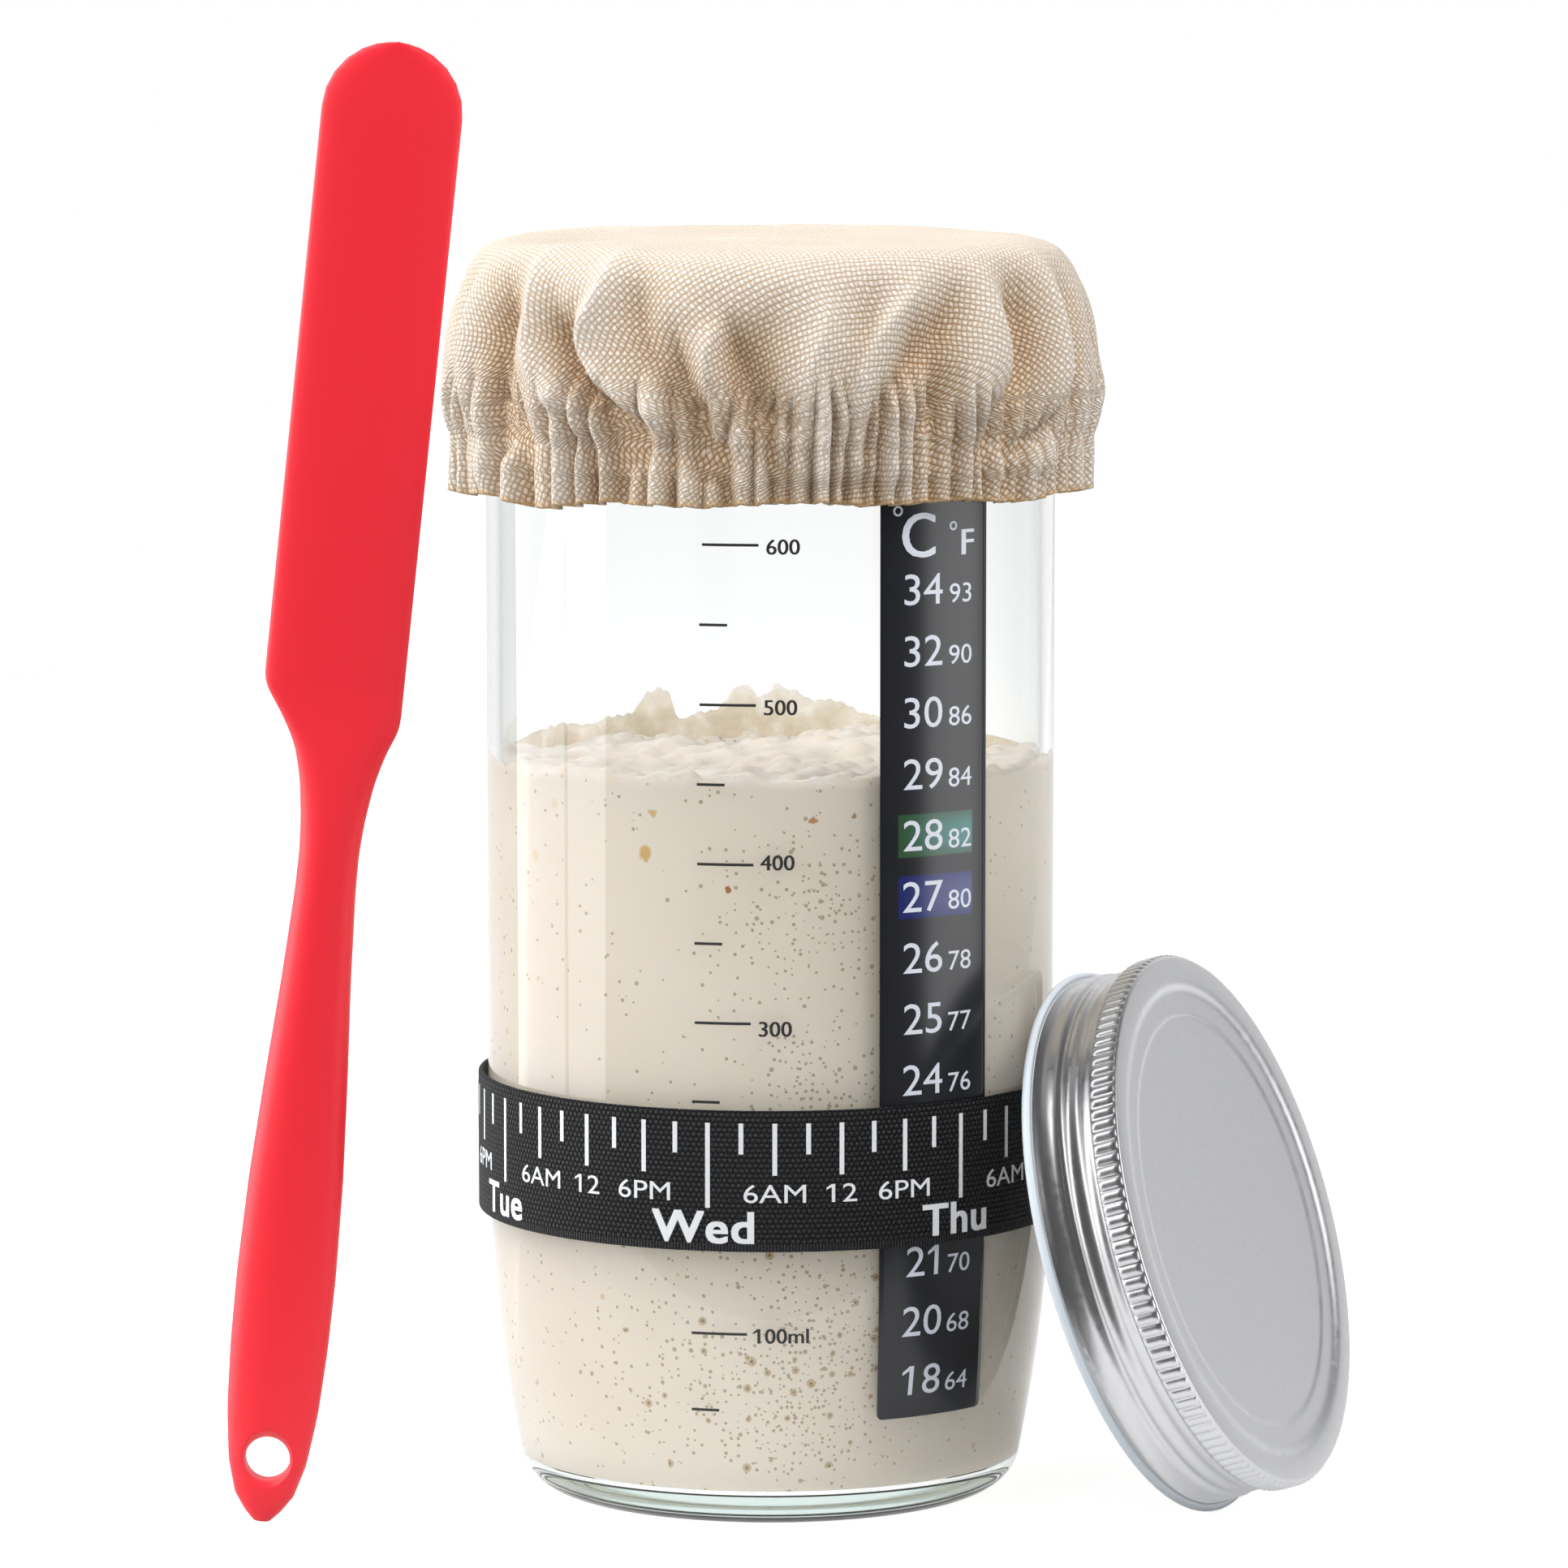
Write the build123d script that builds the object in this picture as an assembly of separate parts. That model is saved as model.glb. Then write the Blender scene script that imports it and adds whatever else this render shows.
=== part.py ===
from build123d import *
import math
import os

# Sourdough starter jar with its cloth cover, feeding band, temperature strip, screw lid and spatula.
# Millimetres. +Z up, origin in the middle of the jar's foot, the front of the set looks along -Y.

os.makedirs("parts", exist_ok=True)

# General clearances
running_gap = 0.28  # between pieces that slide past each other
seat_gap = 0.1  # between a piece and what it rests in
overrun = 2.0  # how far a cutter reaches past what it cuts

# Jar glass
jar_radius = 40.0
jar_height = 176.2
glass_wall = 2.0
base_thickness = 4.5
taper_start = 50.0  # height where the straight wall starts to curve in towards the foot
taper_radius = 220.0
heel_radius = 6.5
inner_heel_radius = 5.0
foot_ring_width = 3.0
punt_depth = 1.0
shoulder_height = 7.5
neck_height = 19.7
neck_inset = 4.2  # how far the neck's wall lies inside the jar's
neck_wall = 2.2
lip_radius = 1.0
thread_pitch = 4.2
thread_height = 1.1
thread_root_width = 2.4
thread_crest_width = 0.9
thread_drop = 14.2  # from the lip down to the thread's lower end
thread_turns = 1.5

# Starter
starter_level = 105.3
starter_dome = 1.6

# Temperature strip
strip_width = 17.8
strip_bottom = 15.4
strip_top_gap = 3.6  # from the strip's top up to the shoulder
strip_bearing = 34.6  # degrees to the right of the front
adhesive_thickness = 0.06
film_thickness = 0.16
window_thickness = 0.06
window_width = 11.5
window_gap = 2.07
window_foot = 5.3  # from the strip's foot to the lowest window's middle
window_head = 14.59  # from the highest window's middle to the strip's top
window_count = 14

# Cloth cover
cloth_thickness = 0.9
cover_height = 35.2
cover_top_ease = 3.4  # how far the flat top reaches past the neck
gather_depth = 2.75  # how far the gathered cloth stands out from its elastic
bulge_swell = 2.9
hem_flare = 0.5
cover_elastic_height = 8.2  # middle of the elastic above the hem
cover_bulge_height = 17.0
fold_depth = 3.2
elastic_width = 6.0
elastic_thickness = 0.65

# Feeding band
band_bottom = 40.1
band_width = 19.6
band_thickness = 0.9
band_lap_length = 14.0
stitch_thickness = 0.3
stitch_length = 1.7
stitch_width = 0.45
stitch_count = 8

# Screw lid
lid_ease = 2.45  # how far the grip band lies outside the neck
lid_height = 14.1
lid_metal = 0.45
face_land = 4.2  # flat ring between the grip band and the first step of the face
face_step = 1.3
face_step_depth = 0.6
face_inner_land = 3.2
face_inner_step_depth = 0.2
grip_depth = 0.35
grip_height = 3.7
grip_count = 136
smooth_height = 1.4
ridge_drop = 0.65  # how far the rolled thread's ridges lie inside the grip band
groove_drop = 1.35
thread_half_pitch = 1.2
skirt_drop = 0.45
bead_radius = 0.65
bead_reach = 0.6  # how far the curled rim stands out past the grip band
seal_width = 2.6
seal_thickness = 0.8
lid_lean = 17.5  # degrees that the face looks up
lid_facing = -22.6  # bearing of the face in degrees from +X towards +Y
lid_bearing = -16.3  # bearing of the lid's middle as seen from the jar's axis
lid_stand_gap = 1.9

# Spatula
spatula_length = 206.0
spatula_lean = 6.1  # degrees to the right
blade_width = 19.3
blade_thickness = 2.8
blade_length = 92.0
neck_width = 8.3
handle_width = 13.8
handle_thickness = 7.4
handle_offset = 1.65  # how far the handle's middle lies to the right of the blade's
hang_hole_radius = 3.1
hang_hole_height = 8.9  # above the foot, along the spatula
spatula_side_gap = 25.7  # from the cover's side to the middle of the spatula's foot, along X
spatula_foot_y = -28.0
core_width = 4.6
core_thickness = 1.5
core_start = 19.0
core_length = 116.0

# Shares for the cover's folds: how wide each fold is beside the mean, and how far its crest stands out
fold_width_shares = [1.3, 0.7, 1.1, 0.75, 1.5, 0.8, 0.7, 1.3, 0.9, 0.7, 1.4, 0.85]
fold_crest_shares = [1.0, 0.3, 0.8, 0.25, 1.0, 0.45, 0.2, 0.9, 0.6, 0.2, 1.0, 0.5]
fold_repeats = 3
# Shares down the cover: height, radius between elastic or top and bulge, fold depth, and lean of the folds
cover_height_shares = [0.0, 0.13, 0.26, 0.37, 0.5, 0.64, 0.78, 0.89, 0.96]
cover_depth_shares = [0.75, 0.6, 0.75, 0.95, 1.0, 0.8, 0.45, 0.2, 0.06]
cover_lean_shares = [0.0, 0.0, 0.05, 0.15, 0.35, 0.5, 0.55, 0.6, 0.6]

# Shares of the spatula's outline, from foot to tip: place along its length, left edge and right edge
# of the handle from the handle's middle in half widths of the handle, and thickness
handle_place_shares = [0.0, 0.007, 0.018, 0.04, 0.075, 0.12, 0.17, 0.235, 0.3, 0.37, 0.43, 0.458]
handle_half_shares = [0.18, 0.38, 0.6, 0.79, 0.92, 0.985, 1.0, 0.95, 0.84, 0.7, 0.61, 0.6]
handle_thick_shares = [0.4, 0.6, 0.76, 0.86, 0.92, 0.97, 1.0, 1.0, 0.98, 0.92, 0.84, 0.8]
# The shoulder: place between neck and blade, and how far each edge has gone from the neck to the blade's edge
shoulder_place_shares = [0.0, 0.22, 0.44, 0.64, 0.78, 0.8, 1.0]
shoulder_left_shares = [0.0, 0.04, 0.13, 0.29, 0.53, 0.56, 1.0]
shoulder_right_shares = [0.0, 0.09, 0.28, 0.6, 0.97, 1.0, 1.0]
shoulder_thick_shares = [0.0, 0.14, 0.34, 0.56, 0.72, 0.75, 0.9]
shoulder_length = 22.9
blade_tip_shares = [0.0, 0.3, 0.55, 0.76, 0.9, 0.975]

# Values worked out from the driving sizes
cavity_radius = jar_radius - glass_wall
neck_radius = jar_radius - neck_inset
shoulder_end = jar_height - neck_height
shoulder_start = shoulder_end - shoulder_height
thread_bottom = jar_height - thread_drop
bore_radius = neck_radius - neck_wall
glass_centre = jar_radius - taper_radius  # the taper's arcs all turn about this radius
strip_outer = adhesive_thickness + film_thickness
strip_length = shoulder_start - strip_top_gap - strip_bottom
window_first = strip_bottom + window_foot
window_pitch = (strip_length - window_foot - window_head) / (window_count - 1)
window_height = window_pitch - window_gap
sleeve_radius = jar_radius + strip_outer + running_gap  # what slides over the glass and the strip
band_outer = sleeve_radius + band_thickness
elastic_outer = sleeve_radius + elastic_thickness
cover_elastic_radius = elastic_outer + gather_depth
cover_bulge_radius = cover_elastic_radius + bulge_swell
cover_hem_radius = cover_elastic_radius + hem_flare
cover_top_radius = neck_radius + cover_top_ease
cover_bottom = jar_height + running_gap + cloth_thickness - cover_height
cover_top = cover_bottom + cover_height
lid_radius = neck_radius + lid_ease
lid_bead_outer = lid_radius + bead_reach
spatula_foot_x = -cover_bulge_radius - spatula_side_gap


def save(shape, name):
    shape.label = name
    export_step(shape, os.path.join("parts", name + ".step"))


def turned(edges):
    """A solid of revolution about +Z from a closed outline drawn as radius and height."""
    return revolve(make_face(Plane.XZ * Curve(edges)), Axis.Z)


def outline(points):
    """Straight edges through the points."""
    return [Line(a, b) for a, b in zip(points, points[1:]) if a != b]


def foot_curve(offset, heel, level):
    """The taper and the heel of the jar, from the straight wall down to a level.

    The taper's arc turns about one middle for every layer of the wall, and the heel's arc is tangent to it
    and to the level. Returns both arcs and the radius where the heel meets the level."""
    taper = taper_radius + offset
    rise = taper_start - level - heel
    reach = math.sqrt((taper - heel) ** 2 - rise**2)
    turn = math.degrees(math.atan2(rise, reach))
    heel_middle = glass_centre + reach
    arcs = [
        CenterArc((glass_centre, taper_start), taper, 0, -turn),
        CenterArc((heel_middle, level + heel), heel, -turn, turn - 90),
    ]
    return arcs, heel_middle


def shoulder_curve(low_radius, low, high_radius, high):
    """Two equal arcs from one upright wall in to another."""
    drop, rise = low_radius - high_radius, high - low
    turn = 2 * math.atan(drop / rise)
    radius = rise / (2 * math.sin(turn))
    middle = (low_radius - drop / 2, low + rise / 2)
    half = turn / 2
    lower = (low_radius - radius * (1 - math.cos(half)), low + radius * math.sin(half))
    upper = (high_radius + radius * (1 - math.cos(half)), high - radius * math.sin(half))
    return [
        ThreePointArc((low_radius, low), lower, middle),
        ThreePointArc(middle, upper, (high_radius, high)),
    ]


def wrapped(inner_offset, outer_offset, low, high, width):
    """A layer that lies on the outside of the jar's wall, between two heights, at the strip's bearing."""
    start = math.degrees(width / jar_radius)
    layer = []
    for offset in (inner_offset, outer_offset):
        radius = taper_radius + offset
        turn = math.degrees(math.asin((taper_start - low) / radius))
        layer.append((jar_radius + offset, radius, turn, CenterArc((glass_centre, taper_start), radius, 0, -turn)))
    (inner, inner_radius, inner_turn, inner_arc), (outer, outer_radius, outer_turn, outer_arc) = layer
    edges = [inner_arc, outer_arc]
    edges += outline([(inner, taper_start), (inner, high), (outer, high), (outer, taper_start)])
    edges += outline([inner_arc @ 1, outer_arc @ 1])
    face = make_face(Plane.XZ * Curve(edges))
    solid = revolve(face, Axis.Z, start)
    return Rot(0, 0, strip_bearing - 90 - start / 2) * solid


def ring(inner, outer, low, high):
    """A plain upright ring."""
    return turned(outline([(inner, low), (outer, low), (outer, high), (inner, high), (inner, low)]))


# The jar's glass
def jar_glass():
    outer_arcs, foot_outer = foot_curve(0, heel_radius, 0)
    inner_arcs, floor_radius = foot_curve(-glass_wall, inner_heel_radius, base_thickness)
    foot_inner = foot_outer - foot_ring_width
    edges = outline([(0, punt_depth), (foot_inner - punt_depth, punt_depth), (foot_inner, 0), (foot_outer, 0)])
    edges += outer_arcs
    edges += outline([(jar_radius, taper_start), (jar_radius, shoulder_start)])
    edges += shoulder_curve(jar_radius, shoulder_start, neck_radius, shoulder_end)
    edges += outline([(neck_radius, shoulder_end), (neck_radius, jar_height - lip_radius)])
    edges += [CenterArc((neck_radius - lip_radius, jar_height - lip_radius), lip_radius, 0, 90)]
    edges += outline([(neck_radius - lip_radius, jar_height), (bore_radius + lip_radius, jar_height)])
    edges += [CenterArc((bore_radius + lip_radius, jar_height - lip_radius), lip_radius, 90, 90)]
    edges += outline([(bore_radius, jar_height - lip_radius), (bore_radius, shoulder_end)])
    edges += shoulder_curve(cavity_radius, shoulder_start, bore_radius, shoulder_end)
    edges += outline([(cavity_radius, shoulder_start), (cavity_radius, taper_start)])
    edges += inner_arcs
    edges += outline([(floor_radius, base_thickness), (0, base_thickness), (0, punt_depth)])
    return turned(edges) + neck_thread()


def neck_thread():
    """The raised thread round the neck: a section carried up a helix, which fades out at both ends."""
    per_turn = 16
    steps = int(thread_turns * per_turn)
    sunk = 4 * seat_gap
    root = neck_radius - sunk
    sections = []
    for i in range(steps + 1):
        turn = 360 * i / per_turn
        fade = min(1, 4 * (i + 1) / per_turn, 4 * (steps + 1 - i) / per_turn)
        reach = sunk + thread_height * fade
        edge = Polyline(
            (0, -thread_root_width / 2),
            (reach, -thread_crest_width / 2),
            (reach, thread_crest_width / 2),
            (0, thread_root_width / 2),
            close=True,
        )
        height = thread_bottom + thread_pitch * i / per_turn
        face = Plane.XZ * make_face(edge)
        sections.append(Pos(0, 0, height) * Rot(0, 0, turn) * Pos(root, 0, 0) * face)
    return loft(sections)


# The starter inside the jar
def starter_dough():
    arcs, floor_radius = foot_curve(-glass_wall - seat_gap, inner_heel_radius, base_thickness)
    radius = cavity_radius - seat_gap
    edges = arcs + outline([(radius, taper_start), (radius, starter_level)])
    crown = starter_level + starter_dome
    edges += [ThreePointArc((radius, starter_level), (radius / 2, crown - starter_dome / 4), (0, crown))]
    edges += outline([(0, crown), (0, base_thickness), (floor_radius, base_thickness)])
    return turned(edges)


# The temperature strip
def window_heights():
    return [window_first + window_pitch * i for i in range(window_count)]


def window_layer():
    low, high = strip_bottom, strip_bottom + strip_length
    sheet = wrapped(adhesive_thickness, adhesive_thickness + window_thickness, low, high, window_width)
    slabs = [Pos(0, 0, z) * Box(3 * jar_radius, 3 * jar_radius, window_height) for z in window_heights()]
    return [sheet & slab for slab in slabs]


def thermometer_film(windows):
    low, high = strip_bottom, strip_bottom + strip_length
    film = wrapped(adhesive_thickness, strip_outer, low, high, strip_width)
    for window in windows:
        film -= window
    return film


# The cloth cover: a gathered skirt of folds under a flat top
def cover_radius(share):
    """Mean outer radius up the cover: out from the elastic to the bulge, then in to the flat top."""
    bulge = cover_bulge_height / cover_height
    elastic = cover_elastic_height / cover_height
    if share < elastic:
        return cover_elastic_radius + (cover_hem_radius - cover_elastic_radius) * (1 - share / elastic) ** 2
    if share < bulge:
        swell = math.sin(math.pi / 2 * (share - elastic) / (bulge - elastic))
        return cover_elastic_radius + (cover_bulge_radius - cover_elastic_radius) * swell
    fall = 1 - math.sqrt(max(0, 1 - ((share - bulge) / (1 - bulge)) ** 2.6))
    return cover_bulge_radius - (cover_bulge_radius - cover_top_radius) * fall


def fold_ring(height, radius, depth, lean):
    """A closed ring of arcs, one arc to a fold, with its valleys on a smaller circle."""
    widths = fold_width_shares * fold_repeats
    crests = fold_crest_shares * fold_repeats
    total = sum(widths)
    arcs, angle = [], lean
    for width, crest in zip(widths, crests):
        sweep_angle = 2 * math.pi * width / total
        valley = radius - depth
        peak = radius - depth * (1 - crest) * 0.5
        ends = [
            (valley * math.cos(a), valley * math.sin(a), height) for a in (angle, angle + sweep_angle)
        ]
        top = (peak * math.cos(angle + sweep_angle / 2), peak * math.sin(angle + sweep_angle / 2), height)
        arcs.append(ThreePointArc(ends[0], top, ends[1]))
        angle += sweep_angle
    return Face(Wire(arcs))


def cover_cloth():
    step = 2 * math.pi / (len(fold_width_shares) * fold_repeats)
    sections = [
        fold_ring(cover_bottom + cover_height * h, cover_radius(h), fold_depth * d, step * lean)
        for h, d, lean in zip(cover_height_shares, cover_depth_shares, cover_lean_shares)
    ]
    sections.append(fold_ring(cover_top, cover_top_radius - cloth_thickness, 0, step * cover_lean_shares[-1]))
    outside = loft(sections, ruled=True)
    elastic_top = cover_bottom + cover_elastic_height + elastic_width / 2
    bulge = cover_bottom + cover_bulge_height
    ceiling = cover_top - cloth_thickness
    skin = cloth_thickness + fold_depth
    inside = turned(
        outline(
            [
                (0, cover_bottom - overrun),
                (elastic_outer, cover_bottom - overrun),
                (elastic_outer, elastic_top),
                (cover_bulge_radius - skin, bulge),
                (cover_bulge_radius - skin, bulge + cover_bulge_height / 2),
                (cover_top_radius, ceiling - fold_depth),
                (cover_top_radius - fold_depth, ceiling),
                (0, ceiling),
                (0, cover_bottom - overrun),
            ]
        )
    )
    return outside - inside


def cover_elastic():
    low = cover_bottom + cover_elastic_height - elastic_width / 2
    return ring(sleeve_radius, elastic_outer, low, low + elastic_width)


# The feeding band and the stitches of its lapped ends, at the back
def arc_block(inner, outer, low, high, bearing, width):
    """A block bent round the jar's axis, with its middle at a bearing from +X."""
    angle = math.degrees(width / outer)
    edges = outline([(inner, low), (outer, low), (outer, high), (inner, high), (inner, low)])
    solid = revolve(make_face(Plane.XZ * Curve(edges)), Axis.Z, angle)
    return Rot(0, 0, bearing - angle / 2) * solid


def feeding_band():
    loop = ring(sleeve_radius, band_outer, band_bottom, band_bottom + band_width)
    low, high = band_bottom, band_bottom + band_width
    return loop + arc_block(band_outer - band_thickness / 2, band_outer + band_thickness, low, high, 90, band_lap_length)


def band_stitches():
    face = band_outer + band_thickness
    pitch = band_width / stitch_count
    edge = math.degrees((band_lap_length / 2 - stitch_length) / face)
    rows = []
    for i in range(stitch_count):
        middle = band_bottom + pitch * (i + 0.5)
        low, high = middle - stitch_length / 2, middle + stitch_length / 2
        for side in (-1, 1):
            bearing = 90 + side * edge
            rows.append(arc_block(face, face + stitch_thickness, low, high, bearing, stitch_width))
    return rows


# The screw lid, drawn with its face at height 0 and its open side down, then stood on its rim
def lid_wall_points(inset):
    """The rolled wall from the face down to the skirt, moved in by the metal's thickness for its inside."""
    grip = lid_radius - grip_depth - inset
    smooth = lid_radius - ridge_drop - inset
    groove = lid_radius - groove_drop - inset
    skirt = lid_radius - skirt_drop - inset
    below_smooth = -grip_height - smooth_height
    steps = [below_smooth - thread_half_pitch * i for i in range(4)]
    return [
        (grip, -grip_height),
        (smooth, -grip_height - grip_depth),
        (smooth, below_smooth),
        (groove, steps[1]),
        (smooth, steps[2]),
        (groove, steps[3]),
        (skirt, steps[3] - thread_half_pitch / 2),
    ]


def lid_face_points(drop):
    """The stepped face from its rim to its middle, moved down by the metal's thickness for its inside."""
    land = lid_radius - face_land
    inner = land - face_step
    step_two = inner - face_inner_land
    return [
        (land, -drop),
        (inner, -drop - face_step_depth),
        (step_two, -drop - face_step_depth),
        (step_two - face_inner_step_depth, -drop - face_step_depth - face_inner_step_depth),
        (0, -drop - face_step_depth - face_inner_step_depth),
    ]


def lid_frame():
    """Where the lid stands: leaning back towards the jar, with its curled rim on the floor."""
    lean, facing, bearing = (math.radians(a) for a in (lid_lean, lid_facing, lid_bearing))
    curl_middle = lid_bead_outer - bead_radius
    depth = lid_height - bead_radius
    height = depth * math.sin(lean) + curl_middle * math.cos(lean) + bead_radius
    lean_run = depth * math.cos(lean) + lid_bead_outer * math.sin(lean)
    away = band_outer + lid_stand_gap + lean_run
    normal = (math.cos(lean) * math.cos(facing), math.cos(lean) * math.sin(facing), math.sin(lean))
    return Plane(
        origin=(away * math.cos(bearing), away * math.sin(bearing), height),
        x_dir=(-math.sin(facing), math.cos(facing), 0),
        z_dir=normal,
    )


def lid_shell():
    grip = lid_radius - grip_depth
    skirt = lid_radius - skirt_drop
    skirt_inside = skirt - lid_metal
    curl = lid_bead_outer - bead_radius
    curl_depth = lid_height - bead_radius
    turn = math.acos((skirt - curl) / bead_radius)
    inner_turn = curl - skirt_inside
    outside = list(reversed(lid_face_points(0))) + [(grip - grip_depth, 0), (grip, -grip_depth)]
    outside += lid_wall_points(0) + [(skirt, -curl_depth + bead_radius * math.sin(turn))]
    inside = [(skirt_inside, inner_turn - lid_height)] + list(reversed(lid_wall_points(lid_metal)))
    inside += [(grip - lid_metal, -lid_metal)] + lid_face_points(lid_metal) + [outside[0]]
    edges = outline(outside) + outline(inside)
    edges += [
        CenterArc((curl, -curl_depth), bead_radius, math.degrees(turn), -math.degrees(turn) - 90),
        CenterArc((curl, inner_turn - lid_height), inner_turn, -90, -90),
    ]
    return turned(edges) + grip_ring()


def grip_ring():
    """The knurled band: an upright ring with one flute to each rib."""
    root = lid_radius - grip_depth
    points = []
    for i in range(2 * grip_count):
        angle = math.pi * i / grip_count
        radius = lid_radius if i % 2 else root
        points.append((radius * math.cos(angle), radius * math.sin(angle)))
    star = Face(Wire(Polyline(*points, close=True).edges()))
    star -= Circle(root - lid_metal / 2)
    return Pos(0, 0, -grip_height) * extrude(star, grip_height - grip_depth)


def lid_seal():
    outer = lid_radius - ridge_drop - lid_metal - seat_gap
    return ring(outer - seal_width, outer, -lid_metal - seal_thickness, -lid_metal)


# The spatula, drawn flat with its foot at the origin and its length up +Z, then leaned to the right
def spatula_section(along, left, right, thickness):
    """A rounded rectangle across the spatula at one place along it."""
    width = right - left
    radius = 0.48 * min(thickness, width)
    return Pos((left + right) / 2, 0, along) * RectangleRounded(width, thickness, radius)


def spatula_solid():
    sections = []
    half = handle_width / 2
    for place, share, thick in zip(handle_place_shares, handle_half_shares, handle_thick_shares):
        edge = half * share
        sections.append((spatula_length * place, handle_offset - edge, handle_offset + edge, handle_thickness * thick))
    neck_thick = handle_thickness * handle_thick_shares[-1]
    blade_start = spatula_length - blade_length + shoulder_length / 8
    start = blade_start - shoulder_length
    neck_half, blade_half = neck_width / 2, blade_width / 2
    for place, left, right, thick in zip(
        shoulder_place_shares, shoulder_left_shares, shoulder_right_shares, shoulder_thick_shares
    ):
        left_neck, right_neck = handle_offset - neck_half, handle_offset + neck_half
        sections.append(
            (
                start + shoulder_length * place,
                left_neck + (-blade_half - left_neck) * left,
                right_neck + (blade_half - right_neck) * right,
                neck_thick + (blade_thickness - neck_thick) * thick,
            )
        )
    tip = spatula_length - blade_half
    for share in blade_tip_shares:
        edge = blade_half * math.sqrt(1 - share**2)
        sections.append((tip + blade_half * share, -edge, edge, blade_thickness * (1 - share / 5)))
    return loft([spatula_section(*section) for section in sections], ruled=True)


def spatula_bar():
    """The stiff bar inside the handle and the lower blade, with flat sides and round ends."""
    straight = core_length - core_width
    bar = Box(core_width, core_thickness, straight)
    for side in (-1, 1):
        bar += Pos(0, 0, side * straight / 2) * Rot(90, 0, 0) * Cylinder(core_width / 2, core_thickness)
    return Pos(handle_offset, 0, core_start + core_length / 2) * bar


def spatula_pieces():
    bar = spatula_bar()
    hole = Pos(handle_offset, 0, hang_hole_height) * Rot(90, 0, 0) * Cylinder(hang_hole_radius, 2 * handle_thickness)
    silicone = spatula_solid() - hole - bar
    lean = Rot(0, spatula_lean, 0)
    lift = -(lean * silicone).bounding_box().min.Z
    place = Pos(spatula_foot_x, spatula_foot_y, lift) * lean
    return place * silicone, place * bar


windows = window_layer()
silicone, core = spatula_pieces()
lid_place = lid_frame()

save(jar_glass(), "jar_glass")
save(starter_dough(), "starter_dough")
save(wrapped(0, adhesive_thickness, strip_bottom, strip_bottom + strip_length, strip_width), "thermometer_adhesive")
save(thermometer_film(windows), "thermometer_film")
save(Compound(windows), "thermometer_windows")
save(cover_cloth(), "cover_cloth")
save(cover_elastic(), "cover_elastic")
save(feeding_band(), "feeding_band")
save(Compound(band_stitches()), "band_stitches")
save(lid_place * lid_shell(), "lid_shell")
save(lid_place * lid_seal(), "lid_seal")
save(silicone, "spatula_silicone")
save(core, "spatula_core")
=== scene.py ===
import math

import bmesh
import bpy
import numpy as np
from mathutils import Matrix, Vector


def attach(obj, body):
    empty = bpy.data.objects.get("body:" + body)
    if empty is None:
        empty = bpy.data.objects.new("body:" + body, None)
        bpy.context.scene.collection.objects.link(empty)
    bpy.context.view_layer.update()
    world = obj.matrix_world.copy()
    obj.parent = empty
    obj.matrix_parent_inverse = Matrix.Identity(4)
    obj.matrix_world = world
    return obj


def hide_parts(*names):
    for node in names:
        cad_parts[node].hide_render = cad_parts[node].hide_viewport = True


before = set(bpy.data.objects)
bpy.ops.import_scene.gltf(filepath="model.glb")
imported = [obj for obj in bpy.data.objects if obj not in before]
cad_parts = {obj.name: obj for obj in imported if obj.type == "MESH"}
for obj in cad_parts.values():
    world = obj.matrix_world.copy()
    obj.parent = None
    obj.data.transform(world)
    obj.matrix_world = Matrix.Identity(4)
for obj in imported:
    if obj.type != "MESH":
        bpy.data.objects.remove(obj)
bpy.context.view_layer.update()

# Starter jar with cloth cover, feeding band, temperature strip, screw lid and spatula.
# Sizes in the dictionaries are millimetres and degrees; meshes are written in metres.
mm = 0.001


def report(text):
    # one printed line for each stage
    print("starter jar:", text)


# Number helpers

def smooth(value, low, high):
    # cubic ease from 0 at low to 1 at high
    t = np.clip((np.asarray(value, float) - low) / (high - low), 0, 1)
    return t * t * (3 - 2 * t)


def spline(knots, values, at):
    # cubic Hermite curve through (knots, values) with slopes from the neighbours on both sides
    knots, values, at = (np.asarray(a, float) for a in (knots, values, at))
    slopes = np.gradient(values, knots)
    i = np.clip(np.searchsorted(knots, at) - 1, 0, len(knots) - 2)
    span = knots[i + 1] - knots[i]
    t = np.clip((at - knots[i]) / span, 0, 1)
    return (
        (2 * t**3 - 3 * t**2 + 1) * values[i]
        + (t**3 - 2 * t**2 + t) * span * slopes[i]
        + (3 * t**2 - 2 * t**3) * values[i + 1]
        + (t**3 - t**2) * span * slopes[i + 1]
    )


def arcPoints(centre, radius, start, end, count):
    # points on a circle from start to end degrees
    turn = np.radians(np.linspace(start, end, count))
    return np.stack([centre[0] + radius * np.cos(turn), centre[1] + radius * np.sin(turn)], 1)


def evenly(path, step):
    # a polyline cut again into steps of about equal length
    path = np.asarray(path, float)
    run = np.concatenate([[0], np.cumsum(np.linalg.norm(np.diff(path, axis=0), axis=1))])
    at = np.linspace(0, run[-1], max(2, int(round(run[-1] / step)) + 1))
    return np.stack([np.interp(at, run, path[:, k]) for k in range(path.shape[1])], 1)


# Mesh helpers

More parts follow.
